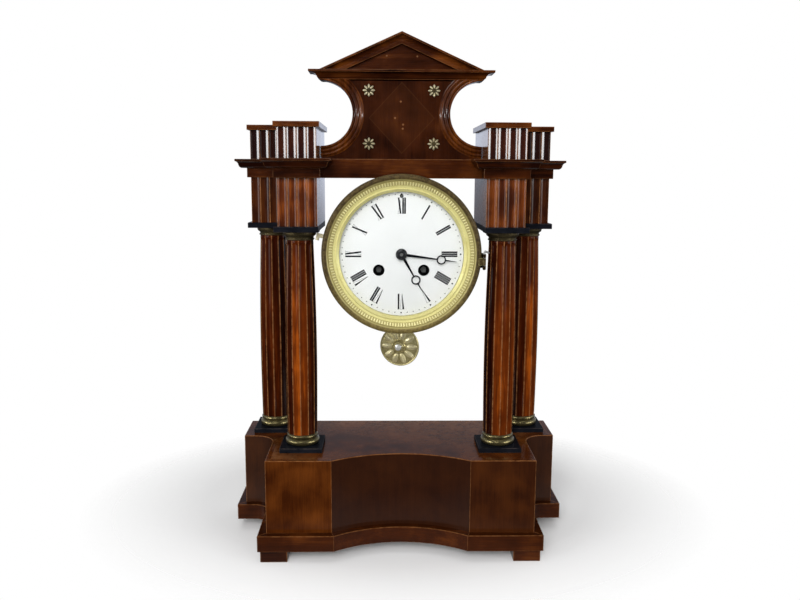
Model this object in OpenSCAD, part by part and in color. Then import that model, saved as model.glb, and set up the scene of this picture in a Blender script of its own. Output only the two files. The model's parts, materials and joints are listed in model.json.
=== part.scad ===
// Portico mantel clock: stepped base, four fluted columns, pediment, drum movement and pendulum.
// X runs to the right, Y to the back and Z up. The origin lies on the floor under the middle.

/* [Base] */
// Half width across the front pedestals
front_half = 109; // [102:0.5:118]
// Half width across the rear pedestals
rear_half = 135.5; // [130:0.5:150]
// Depth of the base body from its front face to its back
base_depth = 104.8; // [98:0.2:130]
// Depth from the front pedestals to the face of the rear pedestals
step_depth = 62.5; // [52:0.5:68]
// Radius of the cove between front and rear pedestals
cove_r = 17; // [12:0.5:20]
// Half width of the hollow bay in the front
bay_half = 56; // [40:0.5:62]
// Depth of the hollow bay
bay_depth = 17; // [8:0.5:22]
// Height of the base body
body_h = 60.8; // [40:0.2:90]
// Wall of the hollow base body
body_wall = 9; // [8:0.5:12]
// Height of the lower plinth
plinth_h = 13.4; // [8:0.2:20]
// How far the lower plinth stands out
plinth_out = 6.6; // [3:0.2:9]
// Height of the feet
foot_h = 9.8; // [5:0.2:16]
// Side of the square feet
foot_w = 22; // [18:0.5:26]
// Inset of the feet from the edge of the lower plinth
foot_inset = 2; // [1:0.5:5]

/* [Columns] */
// Front columns, distance from the middle
front_col_x = 82; // [80:0.5:86]
// Front columns, distance behind the front of the base body
front_col_back = 35.3; // [30:0.1:40]
// Rear columns, distance from the middle
rear_col_x = 110.6; // [106:0.2:114]
// Rear columns, distance in front of the back of the base body
rear_col_fore = 17.6; // [15:0.1:22]
// Half side of the square column plinths
col_plinth_half = 17.6; // [15:0.2:19]
// Height of the column plinths
col_plinth_h = 4; // [2:0.2:8]
// Height of the brass base rings
ring_h = 9; // [6:0.2:14]
// Radius of the brass base rings
ring_r = 14.2; // [13:0.1:15]
// Height of the fluted shafts
shaft_h = 161; // [130:1:190]
// Radius of a shaft at its foot
shaft_foot_r = 12.3; // [11:0.1:13]
// Radius of a shaft at its neck
shaft_neck_r = 10.9; // [9:0.1:12]
// Swelling of a shaft at half height
shaft_swell = 1.2; // [0:0.1:2]
// Number of flutes around a shaft
shaft_flutes = 12; // [8:1:20]
// Depth of those flutes
shaft_flute_depth = 1.1; // [0.5:0.1:1.6]
// Height of the brass capital rings
capital_h = 7; // [4:0.2:12]
// Top radius of the capital rings
capital_r = 13.4; // [12.5:0.1:15]
// Radius of the turned tenons at the ends of a shaft
tenon_r = 4; // [3:0.1:6]
// Length of a tenon inside the base and the frieze
tenon_in = 6; // [4:0.2:7]

/* [Entablature] */
// Half width of the fluted blocks over the columns
block_half = 15.5; // [14.5:0.1:16.5]
// Height of the black abacus slabs
abacus_h = 4.5; // [3:0.1:8]
// Overhang of the abacus slabs
abacus_out = 3.2; // [1.5:0.1:4]
// Height of the frieze blocks
frieze_h = 37.8; // [30:0.2:50]
// Height of the architrave bands
architrave_h = 7.8; // [5:0.2:12]
// Overhang of the architrave bands
architrave_out = 2.8; // [1.5:0.1:4]
// Height of the cornices
cornice_h = 7.3; // [5:0.1:12]
// Overhang of the cornices
cornice_out = 11.5; // [7:0.1:13]
// Height of the attic blocks
attic_h = 24; // [16:0.2:34]
// Height of the attic caps
cap_h = 4.2; // [3:0.1:8]
// Overhang of the attic caps
cap_out = 2.4; // [1.5:0.1:5]
// Number of flutes on a block face
block_flutes = 4; // [3:1:6]
// Depth of the flutes on the blocks
block_flute_depth = 1.4; // [0.6:0.1:2]
// Setback of the lintel from the face of the blocks
lintel_back = 12.2; // [8:0.2:16]
// Depth of the lintel
lintel_depth = 57; // [50:0.5:62]

/* [Pediment] */
// Setback of the pediment panel from the lintel's face
panel_back = 25; // [18:0.5:30]
// Thickness of the pediment panel
panel_t = 12; // [8:0.5:18]
// Height of the pediment panel
panel_h = 63.9; // [58:0.1:80]
// Radius of the round bites in the panel's sides
bite_r = 26.2; // [20:0.2:28]
// Height of the bites' centres above the lintel
bite_up = 37; // [34:0.2:40]
// Width of the scroll mouldings along the bites
scroll_w = 9.4; // [6:0.1:12]
// How far the scroll mouldings stand out
scroll_out = 2.6; // [1:0.1:4]
// Height of the pediment's level cornice
pediment_cornice_h = 7; // [5:0.1:12]
// Overhang of the pediment's level cornice
pediment_out = 9; // [6:0.1:12]
// Rise of the gable above its level cornice
gable_rise = 29.5; // [22:0.5:40]
// Upright thickness of the raking cornice
rake_t = 9; // [6:0.2:12]
// Radius of the rosettes
rosette_r = 5.2; // [4:0.1:7]
// Thickness of the rosettes
rosette_t = 2.6; // [1.5:0.1:4]
// Rosettes, distance from the middle
rosette_x = 26.6; // [20:0.2:28]
// Upper rosettes, distance below the panel's top
rosette_down = 8.6; // [7:0.1:12]
// Lower rosettes, distance above the lintel
rosette_up = 12.8; // [9:0.1:16]
// Number of petals on a rosette
petals = 8; // [6:1:12]

/* [Clock head] */
// Radius of the drum
drum_r = 57; // [55:0.5:58]
// Wall of the drum
drum_wall = 1.2; // [0.8:0.1:2]
// Thickness of the drum's front flange
flange_t = 2; // [1.5:0.1:3]
// Height of the saddle between the drum and the lintel
saddle_h = 3.3; // [2.5:0.1:6]
// Half width of the saddle
saddle_half = 15; // [12:0.5:20]
// How far the bezel laps past the drum
bezel_lap = 7; // [5:0.1:8]
// Thickness of the bezel
bezel_t = 9; // [7:0.1:12]
// Width of the bezel's rounded rim
rim_w = 5.6; // [4:0.1:7]
// Radius of the opening in the bezel
sight_r = 50; // [48:0.2:51]
// Thickness of the glass
glass_t = 1.8; // [1:0.1:2.5]
// Doming of the glass
glass_dome = 4.5; // [2:0.1:6]
// Thickness of the enamel dial
dial_t = 1.5; // [1:0.1:2]
// Radius of the hinge pin of the bezel
hinge_pin_r = 0.8; // [0.6:0.05:1]
// Hinge of the bezel, distance below the middle of the dial
hinge_down = 5; // [3:0.5:9]

/* [Hands] */
// Length of the hour hand
hour_len = 35.5; // [30:0.5:40]
// Distance from the middle to the hour hand's ring
hour_ring = 24; // [18:0.2:28]
// Angle of the hour hand, clockwise from twelve
hour_angle = 150.4; // [0:0.1:360]
// Length of the minute hand
minute_len = 45; // [40:0.2:47]
// Distance from the middle to the minute hand's ring
minute_ring = 32.4; // [24:0.1:36]
// Angle of the minute hand, clockwise from twelve
minute_angle = 97.6; // [0:0.1:360]
// Outer radius of the rings on the hands
hand_ring_r = 3.8; // [3:0.1:5]
// Thickness of the hands
hand_t = 0.8; // [0.5:0.1:1.2]
// Radius of the collet that holds the hands
collet_r = 4.7; // [4:0.1:6]

/* [Movement] */
// Thickness of the plates
plate_t = 2.5; // [2:0.1:3]
// Space between the plates
plate_gap = 31; // [31:0.5:36]
// Space for the motion work between dial and front plate
motion_gap = 6; // [6:0.2:8]
// Radius of the pillars between the plates
pillar_r = 3; // [2:0.1:4]
// Tooth module of the great wheels
great_module = 0.5; // [0.48:0.005:0.52]
// Tooth module of the centre wheel
centre_module = 0.42; // [0.4:0.005:0.43]
// Tooth module of the third wheel
third_module = 0.38; // [0.37:0.005:0.39]
// Radius of the barrels
barrel_r = 15; // [12:0.1:15.5]
// Winding squares, distance from the middle
winder_x = 18.2; // [17.9:0.1:18.8]
// Radius of the winding arbors
winder_r = 2.2; // [1.8:0.1:2.6]
// Radius of the winding holes in the dial
winder_hole_r = 4.6; // [3.6:0.1:5.2]
// Radius of the centre, pallet and hammer arbors
arbor_r = 1.3; // [1:0.05:1.4]
// Height of the pallet arbor above the middle of the dial
pallet_up = 39.5; // [38.5:0.1:41]
// Distance from the pallet arbor down to the escape wheel
escape_drop = 12.5; // [12:0.1:13]
// Radius of the escape wheel
escape_r = 9.4; // [8:0.1:9.6]
// Running clearance of shafts in their bores
run_fit = 0.05; // [0.02:0.01:0.1]

/* [Pendulum and strike] */
// Length of the pendulum from its bend to the middle of the bob
pendulum_len = 126.8; // [115:0.2:140]
// Radius of the pendulum rod
rod_r = 1.2; // [0.8:0.1:1.5]
// Radius of the bob
bob_r = 17.8; // [14:0.1:22]
// Thickness of the bob
bob_t = 7; // [5:0.1:10]
// Turn of the bob about its rod
bob_turn = -16; // [-20:1:20]
// Length of the crutch
crutch_len = 22; // [18:0.5:28]
// Mouth radius of the bell
bell_r = 27; // [24:0.5:28]
// Depth of the bell
bell_h = 13; // [10:0.2:15]
// Wall of the bell
bell_wall = 1.6; // [1:0.1:2]
// Bell, distance to the left of the middle
bell_left = 14; // [12:0.5:16]
// Bell, distance below the middle
bell_down = 8; // [6:0.5:10]
// Gap between the resting hammer and the bell
hammer_gap = 0.6; // [0.4:0.1:1]

/* [Hidden] */
$fn = 96;
eps = 0.01;
// Loose fit of pieces that are fixed together
seat_fit = 0.02;
// Extra length of a cut beyond the piece that it cuts
over = 1;
// Air past the end of a tenon or a screw
end_gap = 0.2;

// Levels of the case
body_z = foot_h + plinth_h;
base_z = body_z + body_h;
ring_z = base_z + col_plinth_h;
shaft_z = ring_z + ring_h;
capital_z = shaft_z + shaft_h;
abacus_z = capital_z + capital_h;
frieze_z = abacus_z + abacus_h;
architrave_z = frieze_z + frieze_h;
cornice_z = architrave_z + architrave_h;
attic_z = cornice_z + cornice_h;
cap_z = attic_z + attic_h;
panel_top = attic_z + panel_h;
gable_z = panel_top + pediment_cornice_h;

// Depths of the case
back_y = (base_depth + plinth_out) / 2;
face_y = back_y - base_depth;
step_y = face_y + step_depth;
front_col_y = face_y + front_col_back;
rear_col_y = back_y - rear_col_fore;
block_y = front_col_y - block_half;
lintel_y = block_y + lintel_back;
panel_y = lintel_y + panel_back;
columns = [[-front_col_x, front_col_y], [front_col_x, front_col_y],
           [-rear_col_x, rear_col_y], [rear_col_x, rear_col_y]];
lintel_half = front_col_x - block_half;
panel_gap = 0.5;
panel_half = lintel_half - panel_gap;
bite_z = attic_z + bite_up;
abacus_in = 1;
cove_facets = 16;
cove_steps = 6;
cove_foot = 1;
arris = 0.1;
ring_lip = 0.6;
neck_lap = 0.2;

// Clock head
dial_z = architrave_z - saddle_h - drum_r;
drum_in = drum_r - drum_wall;
flange_y = lintel_y - flange_t;
bezel_r = drum_r + bezel_lap;
bezel_gap = 0.3;
bezel_back = flange_y - bezel_gap;
bezel_front = bezel_back - bezel_t;
knuckle_r = 2 * hinge_pin_r;
hinge_x = bezel_r + knuckle_r + bezel_gap;
hinge_z = dial_z - hinge_down;
knuckle_h = 6;
knuckle_gap = 0.2;
flange_in = 2;
flange_r = bezel_r - flange_in;
dial_side = 2.3;
dial_r = drum_in - dial_side;
dial_fit = 0.3;
dial_in = 1;
dial_y = flange_y + dial_in;
dial_back = dial_y + dial_t;
dial_foot_r = 1.2;
dial_foot_in = 8;
saddle_in = 1;
saddle_bite = 3;
glass_in = 1.2;
glass_r = sight_r + glass_in;
glass_up = 4.05;
glass_y = bezel_back - glass_up;
glass_fit = 0.3;
glass_gap = 0.05;
sight_lip = 1.4;
rim_step = 1.6;

// Movement planes and wheel places, seen from the front, about the middle of the dial
front_plate_y = dial_back + motion_gap;
inner_y = front_plate_y + plate_t;
back_plate_y = inner_y + plate_gap;
drum_back = back_plate_y + plate_t;
plate_fit = 0.2;
plate_r = drum_in - plate_fit;
ledge_w = 3;
ledge_t = 1.5;
pillar_gap = 1;
pillar_ring = plate_r - ledge_w - pillar_r - pillar_gap;
hanger_x = 10;
hanger_y = (inner_y + back_plate_y) / 2;
hanger_r = 1.8;
hanger_in = 9;
great_teeth = 80;
centre_pinion = 10;
train_teeth = 84;
train_pinion = 7;
cannon_teeth = 12;
motion_teeth = 36;
motion_pinion = 10;
hour_teeth = 40;
pin_teeth = 60;
pin_pinion = 8;
escape_teeth = 35;
great_span = (great_teeth + centre_pinion) * great_module / 2;
centre_span = (train_teeth + train_pinion) * centre_module / 2;
third_span = (train_teeth + train_pinion) * third_module / 2;
motion_span = 12;
wheel_add = 0.75;
wheel_share = 0.42;
pinion_add = 0.45;
pinion_share = 0.34;
tooth_ded = 1.1;
tooth_root = 0.62;
tooth_tip = 0.25;
train_arbor_r = (train_pinion / 2 - tooth_ded) * third_module - eps;
pivot_r = 0.7 * train_arbor_r;
cannon_module = 2 * motion_span / (cannon_teeth + motion_teeth);
hour_module = 2 * motion_span / (motion_pinion + hour_teeth);
pin_span = (great_teeth + pin_pinion) * great_module / 2;
winder_z = -sqrt(great_span * great_span - winder_x * winder_x);
going_at = [winder_x, winder_z];
strike_at = [-winder_x, winder_z];
pallet_at = [0, pallet_up];
escape_at = [0, pallet_up - escape_drop];
third_z = (centre_span * centre_span - third_span * third_span + escape_at[1] * escape_at[1])
    / (2 * escape_at[1]);
third_at = [sqrt(centre_span * centre_span - third_z * third_z), third_z];
motion_at = [0, motion_span];
pin_angle = 110;
pin_at = strike_at + pin_span * [cos(pin_angle), sin(pin_angle)];
pin_wheel_module = 0.4;
pin_count = 10;
pin_in = 2.6;
pin_ring = pin_teeth * pin_wheel_module / 2 - pin_in;
lift_pin_r = 0.5;
lift_pin_len = 2;
hammer_off = [-12.5, 8];
hammer_at = pin_at + hammer_off;
pillars_at = [for (a = [35, 145, 215, 325]) pillar_ring * [cos(a), sin(a)]];
wheel_places = [third_at, escape_at, pin_at];
motion_post_r = 1;
end_play = 0.3;

// Depths of the toothed layers behind the front plate
great_t = 2;
wheel_t = 1.5;
pinion_over = 1;
going_depth = 3;
going_layer = inner_y + going_depth;
barrel_len = 17;
barrel_end = going_layer + barrel_len;
strike_layer = barrel_end - great_t;
centre_depth = 23;
centre_layer = inner_y + centre_depth;
third_depth = 27.5;
third_layer = inner_y + third_depth;
escape_depth = 20;
escape_layer = inner_y + escape_depth;
pin_depth = 26;
pin_layer = inner_y + pin_depth;
cannon_t = 2.6;
cannon_gap = 0.2;
cannon_y = front_plate_y - cannon_t - cannon_gap;
motion_in = 0.4;
motion_t = 1.4;
motion_pinion_in = 0.1;
hour_wheel_gap = 0.5;
hour_wheel_y = dial_back + hour_wheel_gap;
hour_wheel_t = 1.3;

// Hands on their pipes
pipe_r = 2.2;
hour_pipe_in = pipe_r + run_fit;
hour_pipe_r = 3.1;
hour_pipe_gap = 0.4;
hour_pipe_out = 0.3;
hour_lift = 1.1;
hand_gap = 0.6;
hour_y = dial_y - hour_lift - hand_t;
minute_y = hour_y - hand_t - hand_gap;
hour_hub = 1.2;
minute_hub = 1.4;
collet_t = 2.4;
arbor_out = 1.6;

// Pendulum, bell and hammer planes behind the back plate
crutch_gap = 0.8;
crutch_y = drum_back + crutch_gap;
crutch_t = 1.6;
crutch_w = 1.8;
fork_pin_r = 0.8;
fork_gap = 0.3;
fork_past = 0.6;
boss_w = 1;
cock_y = crutch_y + crutch_t + crutch_gap;
cock_t = 2.6;
cock_half_h = 3.5;
rod_gap = 2.4;
rod_y = cock_y + cock_t + rod_gap;
pivot_z = dial_z + pallet_up;
bob_z = pivot_z - pendulum_len;
spring_len = 8;
spring_t = 0.4;
spring_w = 2.8;
spring_gap = 0.15;
rod_past = 2;
bell_at = [-bell_left, -bell_down];
bell_y = rod_y + rod_r + rod_gap;
bell_screw_r = 1.5;
head_r = 3;
head_past = 4;
head_at = bell_at - [bell_r + hammer_gap + head_r, 0];
stem_t = 1.8;
stem_w = 1.6;
tail_gap = 0.4;
tail_t = 1.4;
tail_clear = 1.4;

// Shared shapes

// A flat outline in X and Z, carried from depth y0 to depth y1
module along_y(y0, y1) {
    translate([0, y1, 0]) rotate([90, 0, 0]) linear_extrude(y1 - y0) children();
}

// The same about the middle of the dial
module at_dial(y0, y1) {
    translate([0, 0, dial_z]) along_y(y0, y1) children();
}

// A round rod along Y at a place on the movement
module rod(at, r, y0, y1) {
    at_dial(y0, y1) translate(at) circle(r);
}

// A piece turned about the middle of the dial, from points of radius and depth
module turned(points) {
    translate([0, 0, dial_z]) rotate([90, 0, 0])
        rotate_extrude() polygon([for (p = points) [p[0], -p[1]]]);
}

// A point in the flat at radius r and angle a
function polar(r, a) = r * [cos(a), sin(a)];

// A straight bar in the flat from p to q
module bar(p, q, w) {
    d = q - p;
    translate(p) rotate(atan2(d[1], d[0])) translate([0, -w / 2]) square([norm(d), w]);
}

// Right half of the base's outline, grown outwards by g, with a cove between the pedestals
function base_half(g) = concat([[front_half + g, face_y - g]],
    [for (i = [0 : cove_facets]) [front_half + cove_r, step_y - cove_r]
        + polar(cove_r - g, 180 - 90 * i / cove_facets)],
    [[rear_half + g, step_y - g], [rear_half + g, back_y]]);

// The hollow bay in the front of the base, whose wall is grown outwards by g
module bay(g) {
    bay_r = (bay_half * bay_half + bay_depth * bay_depth) / (2 * bay_depth);
    translate([0, face_y + bay_depth - bay_r]) circle(bay_r - g);
}

module base_plan(g) {
    right = base_half(g);
    left = [for (i = [len(right) - 1 : -1 : 0]) [-right[i][0], right[i][1]]];
    difference() {
        polygon(concat(right, left));
        bay(g);
    }
}

// Inside of the base, one wall in from its faces
module base_hollow() {
    y1 = back_y - body_wall;
    difference() {
        for (f = [[front_half, face_y], [rear_half, step_y]])
            translate([body_wall - f[0], f[1] + body_wall])
                square([2 * (f[0] - body_wall), y1 - f[1] - body_wall]);
        bay(-body_wall);
    }
}

// Plan of a right-hand entablature piece: an L over the front and rear columns
module block_plan(out, inner_out) {
    x0 = lintel_half - inner_out;
    translate([x0, block_y - out])
        square([front_col_x + block_half + out - x0, back_y - block_y + out]);
    translate([x0, rear_col_y - block_half - out])
        square([rear_col_x + block_half + out - x0, back_y - rear_col_y + block_half + out]);
}

// An entablature slab on the right, kept off the lintel
module slab(z, h, out, inner_out) {
    difference() {
        translate([0, 0, z]) linear_extrude(h) block_plan(out, inner_out);
        translate([0, lintel_y, z - eps]) cube([lintel_half, back_y - lintel_y + over, h + 2 * eps]);
    }
}

// A fluted block on the right
module fluted_block(z, h) {
    pitch = 2 * block_half / block_flutes;
    r = (pitch * pitch / 4 + block_flute_depth * block_flute_depth) / (2 * block_flute_depth) - arris;
    difference() {
        translate([0, 0, z]) linear_extrude(h) block_plan(0, 0);
        for (f = [[front_col_x, block_y], [rear_col_x, rear_col_y - block_half]])
            for (i = [0 : block_flutes - 1])
                translate([f[0] - block_half + (i + 0.5) * pitch, f[1] + block_flute_depth - r, z - over])
                    cylinder(r = r, h = h + 2 * over);
    }
}

// A coved moulding in thin steps: each step's overhang follows a hollow quarter round
module coved_slab(z, h, out0, out1) {
    for (i = [0 : cove_steps - 1]) {
        out = out0 + (out1 - out0) * (1 - cos(90 * i / (cove_steps - 1)));
        slab(z + i * h / cove_steps, h - i * h / cove_steps, out, out);
    }
}

// Sockets for the column tenons in the right-hand pieces
module right_sockets(z, h) {
    for (i = [1, 3]) translate([columns[i][0], columns[i][1], z])
        cylinder(r = tenon_r + run_fit, h = h);
}

module on_left() {
    mirror([1, 0, 0]) children();
}

// Radius of a shaft at share t of its height
function shaft_r(t) = shaft_foot_r + (shaft_neck_r - shaft_foot_r) * t + shaft_swell * sin(180 * t);

// Depth of a flute at share u of its width
function flute_cut(u) = shaft_flute_depth * sin(180 * u);

module column(i) {
    rings = 10;
    side = 4;
    count = shaft_flutes * side;
    points = [for (k = [0 : rings]) for (j = [0 : count - 1])
        let (t = k / rings, a = 360 * j / count - 90, r = shaft_r(t) - flute_cut((j % side) / side))
        [r * cos(a), r * sin(a), shaft_h * t]];
    walls = [for (k = [0 : rings - 1]) for (j = [0 : count - 1])
        let (a = k * count + j, b = k * count + (j + 1) % count)
        each [[a, a + count, b], [b, a + count, b + count]]];
    foot = [for (j = [0 : count - 1]) j];
    neck = [for (j = [count - 1 : -1 : 0]) rings * count + j];
    drop = ring_h + col_plinth_h + tenon_in;
    lift = capital_h + abacus_h + tenon_in;
    translate([columns[i][0], columns[i][1], shaft_z]) {
        polyhedron(points, concat([foot], walls, [neck]));
        translate([0, 0, -drop]) cylinder(r = tenon_r, h = drop + over);
        translate([0, 0, shaft_h - over]) cylinder(r = tenon_r, h = lift + over);
    }
}

// Toothed outline: a tooth takes the share width of its pitch, and one tooth points along angle a
module teeth(n, m, add, width, a) {
    r = n * m / 2;
    p = 360 / n;
    polygon([for (i = [0 : n - 1]) let (c = a + i * p) each [
        polar(r - tooth_ded * m, c - p * width * tooth_root),
        polar(r + add * m, c - p * width * tooth_tip),
        polar(r + add * m, c + p * width * tooth_tip),
        polar(r - tooth_ded * m, c + p * width * tooth_root)]]);
}

module wheel_teeth(n, m, a) {
    teeth(n, m, wheel_add, wheel_share, a);
}

module pinion_teeth(n, m, a) {
    teeth(n, m, pinion_add, pinion_share, a);
}

function bearing(from, to) = atan2(to[1] - from[1], to[0] - from[0]);

// Angle that puts a gap of an n-leaved pinion along angle a
function gap_at(n, a) = a + 180 / n;

// A plain arbor with its two pivots
module wheel_arbor(at) {
    rod(at, train_arbor_r, inner_y + run_fit, back_plate_y - run_fit);
    rod(at, pivot_r, front_plate_y + end_play, drum_back - end_play);
}

// Base

module feet() {
    color("#3a1c10") for (s = [-1, 1]) {
        x = front_half + plinth_out - foot_inset - foot_w;
        rear_x = rear_half + plinth_out - foot_inset - foot_w;
        translate([s > 0 ? x : -x - foot_w, face_y - plinth_out + foot_inset, 0])
            cube([foot_w, foot_w, foot_h]);
        translate([s > 0 ? rear_x : -rear_x - foot_w, back_y - foot_inset - foot_w, 0])
            cube([foot_w, foot_w, foot_h]);
    }
}

module base_plinth() {
    color("#5b2c16") translate([0, 0, foot_h]) linear_extrude(plinth_h) difference() {
        base_plan(plinth_out);
        base_hollow();
    }
}

module base_body() {
    color("#6b3419") difference() {
        translate([0, 0, body_z]) linear_extrude(body_h) base_plan(0);
        translate([0, 0, body_z - eps]) linear_extrude(body_h - body_wall + eps) base_hollow();
        for (c = columns) translate([c[0], c[1], base_z - tenon_in - end_gap])
            cylinder(r = tenon_r + run_fit, h = tenon_in + over);
    }
}

// Columns

module column_plinths() {
    color("#1a1817") for (c = columns) {
        depth = min(col_plinth_half, back_y - c[1]) + col_plinth_half;
        difference() {
            translate([c[0] - col_plinth_half, c[1] - col_plinth_half, base_z])
                cube([2 * col_plinth_half, depth, col_plinth_h]);
            translate([c[0], c[1], base_z - over])
                cylinder(r = tenon_r + run_fit, h = col_plinth_h + 2 * over);
        }
    }
}

module column_base_rings() {
    lower = ring_h * 0.3;
    upper = ring_h * 0.2;
    color("#c79a4b") for (c = columns) translate([c[0], c[1], ring_z]) difference() {
        union() {
            rotate_extrude() translate([ring_r - lower, lower]) circle(lower);
            cylinder(r = ring_r - lower, h = ring_h);
            rotate_extrude() translate([shaft_foot_r + ring_lip - upper, ring_h - upper]) circle(upper);
        }
        translate([0, 0, -over]) cylinder(r = tenon_r + run_fit, h = ring_h + 2 * over);
    }
}

module column_front_left() {
    color("#7a3e1f") column(0);
}

module column_front_right() {
    color("#7a3e1f") column(1);
}

module column_rear_left() {
    color("#7a3e1f") column(2);
}

module column_rear_right() {
    color("#7a3e1f") column(3);
}

module capital_rings() {
    lip = 1.6;
    color("#6e6236") for (c = columns) translate([c[0], c[1], capital_z]) difference() {
        union() {
            cylinder(r1 = shaft_neck_r + neck_lap, r2 = capital_r, h = capital_h - lip);
            translate([0, 0, capital_h - lip]) cylinder(r = capital_r, h = lip);
        }
        translate([0, 0, -over]) cylinder(r = tenon_r + run_fit, h = capital_h + 2 * over);
    }
}

// Entablature

module abacus_right() {
    color("#1a1817") difference() {
        slab(abacus_z, abacus_h, abacus_out, abacus_in);
        right_sockets(abacus_z - over, abacus_h + 2 * over);
    }
}

module abacus_left() {
    on_left() abacus_right();
}

module frieze_block_right() {
    color("#6b3419") difference() {
        fluted_block(frieze_z, frieze_h);
        right_sockets(frieze_z - over, tenon_in + over + end_gap);
    }
}

module frieze_block_left() {
    on_left() frieze_block_right();
}

module architrave_right() {
    color("#5b2c16") slab(architrave_z, architrave_h, architrave_out, architrave_out);
}

module architrave_left() {
    on_left() architrave_right();
}

module cornice_right() {
    color("#6b3419") coved_slab(cornice_z, cornice_h, architrave_out, cornice_out);
}

module cornice_left() {
    on_left() cornice_right();
}

module attic_block_right() {
    color("#5b2c16") fluted_block(attic_z, attic_h);
}

module attic_block_left() {
    on_left() attic_block_right();
}

module attic_cap_right() {
    color("#6b3419") translate([0, 0, cap_z]) linear_extrude(cap_h) block_plan(cap_out, cap_out);
}

module attic_cap_left() {
    on_left() attic_cap_right();
}

module lintel() {
    color("#5b2c16") difference() {
        translate([-lintel_half, lintel_y, architrave_z])
            cube([2 * lintel_half, lintel_depth, attic_z - architrave_z]);
        hanger_holes(architrave_z + hanger_in + end_gap);
    }
}

// Pediment

module pediment_panel() {
    color("#6b3419") along_y(panel_y, panel_y + panel_t) difference() {
        translate([-panel_half, attic_z]) square([2 * panel_half, panel_h]);
        for (s = [-1, 1]) translate([s * panel_half, bite_z]) circle(bite_r);
    }
}

module scroll_mouldings() {
    bead = scroll_w / 6;
    color("#4a2311") for (s = [-1, 1]) intersection() {
        translate([s * panel_half, panel_y, bite_z]) rotate([90, 0, 0]) rotate_extrude() {
            translate([bite_r, 0]) square([scroll_w, scroll_out / 2]);
            for (k = [0.25, 0.75])
                translate([bite_r + scroll_w * k, scroll_out - bead]) circle(bead);
            translate([bite_r, 0]) square([bead, scroll_out]);
        }
        translate([-panel_half, panel_y - scroll_out, attic_z])
            cube([2 * panel_half, scroll_out, panel_h]);
    }
}

module pediment_cornice() {
    h = pediment_cornice_h / cove_steps;
    color("#5b2c16") for (i = [0 : cove_steps - 1]) {
        out = cove_foot + (pediment_out - cove_foot) * (1 - cos(90 * i / (cove_steps - 1)));
        translate([-panel_half - out, panel_y - out, panel_top + i * h])
            cube([2 * (panel_half + out), panel_t + out, pediment_cornice_h - i * h]);
    }
}

// The gable's triangle, lowered by d along its slopes
module gable(d) {
    half = panel_half * (gable_rise - d) / gable_rise;
    polygon([[-half, gable_z], [half, gable_z], [0, gable_z + gable_rise - d]]);
}

module tympanum() {
    color("#6b3419") along_y(panel_y, panel_y + panel_t) gable(rake_t);
}

module raking_cornice() {
    color("#5b2c16") {
        along_y(panel_y - pediment_out, panel_y + panel_t) difference() {
            gable(0);
            gable(rake_t / 2);
        }
        along_y(panel_y - pediment_out / 2, panel_y + panel_t) difference() {
            gable(rake_t / 2);
            gable(rake_t);
        }
    }
}

module rosette() {
    petal = rosette_r * 0.32;
    cylinder(r = rosette_r - petal, h = rosette_t * 0.5);
    cylinder(r = rosette_r * 0.3, h = rosette_t);
    for (i = [0 : petals - 1]) rotate(360 * i / petals)
        translate([rosette_r - petal, 0, 0]) cylinder(r = petal, h = rosette_t * 0.7);
}

module rosettes() {
    color("#d8bd7c") for (s = [-1, 1]) for (z = [panel_top - rosette_down, attic_z + rosette_up])
        translate([s * rosette_x, panel_y, z]) rotate([90, 0, 0]) rosette();
}

// Clock head

// Holes for the wood screws from inside the drum up into the lintel
module hanger_holes(top) {
    for (s = [-1, 1]) translate([s * hanger_x, hanger_y, dial_z])
        cylinder(r = hanger_r + run_fit, h = top - dial_z);
}

module drum() {
    color("#b08a45") difference() {
        union() {
            turned([[drum_in, flange_y], [drum_r, flange_y], [drum_r, drum_back], [drum_in, drum_back]]);
            turned([[dial_r + dial_fit, flange_y], [flange_r, flange_y], [flange_r, lintel_y],
                    [dial_r + dial_fit, lintel_y]]);
            for (y = [inner_y, back_plate_y - ledge_t])
                turned([[drum_in - ledge_w, y], [drum_r - eps, y], [drum_r - eps, y + ledge_t],
                        [drum_in - ledge_w, y + ledge_t]]);
            hinge_bracket();
        }
        hanger_holes(architrave_z);
        translate([hinge_x, bezel_front, hinge_z - knuckle_h * 2])
            cylinder(r = hinge_pin_r + seat_fit, h = knuckle_h * 4);
    }
}

// Fixed knuckles above and below the bezel's own knuckle
module hinge_bracket() {
    for (s = [-1, 1]) {
        z0 = hinge_z + s * (knuckle_h / 2 + knuckle_gap + knuckle_h / 4);
        translate([hinge_x, bezel_front, z0]) {
            cylinder(r = knuckle_r, h = knuckle_h / 2, center = true);
            translate([bezel_r + 2 * knuckle_gap - hinge_x + bezel_gap, 0, -knuckle_h / 4])
                cube([2 * knuckle_r - 2 * knuckle_gap, lintel_y - bezel_front, knuckle_h / 2]);
        }
    }
    translate([dial_r + dial_fit, flange_y, hinge_z - knuckle_h - knuckle_gap])
        cube([hinge_x + knuckle_r - dial_r - dial_fit, flange_t, 2 * (knuckle_h + knuckle_gap)]);
}

module drum_saddle() {
    color("#5b2c16") difference() {
        translate([-saddle_half, lintel_y + saddle_in, dial_z + drum_r - saddle_bite])
            cube([2 * saddle_half, drum_back - lintel_y - 2 * saddle_in, saddle_h + saddle_bite]);
        rod([0, 0], drum_r + seat_fit, lintel_y, drum_back);
        hanger_holes(architrave_z + over);
    }
}

module hanger_screws() {
    head_h = 2;
    head_edge = hanger_x + 2 * hanger_r;
    head_z = dial_z + sqrt(drum_in * drum_in - head_edge * head_edge) - seat_fit;
    color("#8c8f94") for (s = [-1, 1]) translate([s * hanger_x, hanger_y, head_z]) {
        cylinder(r = hanger_r, h = architrave_z + hanger_in - head_z);
        translate([0, 0, -head_h]) cylinder(r = 2 * hanger_r, h = head_h + eps);
    }
}

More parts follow.
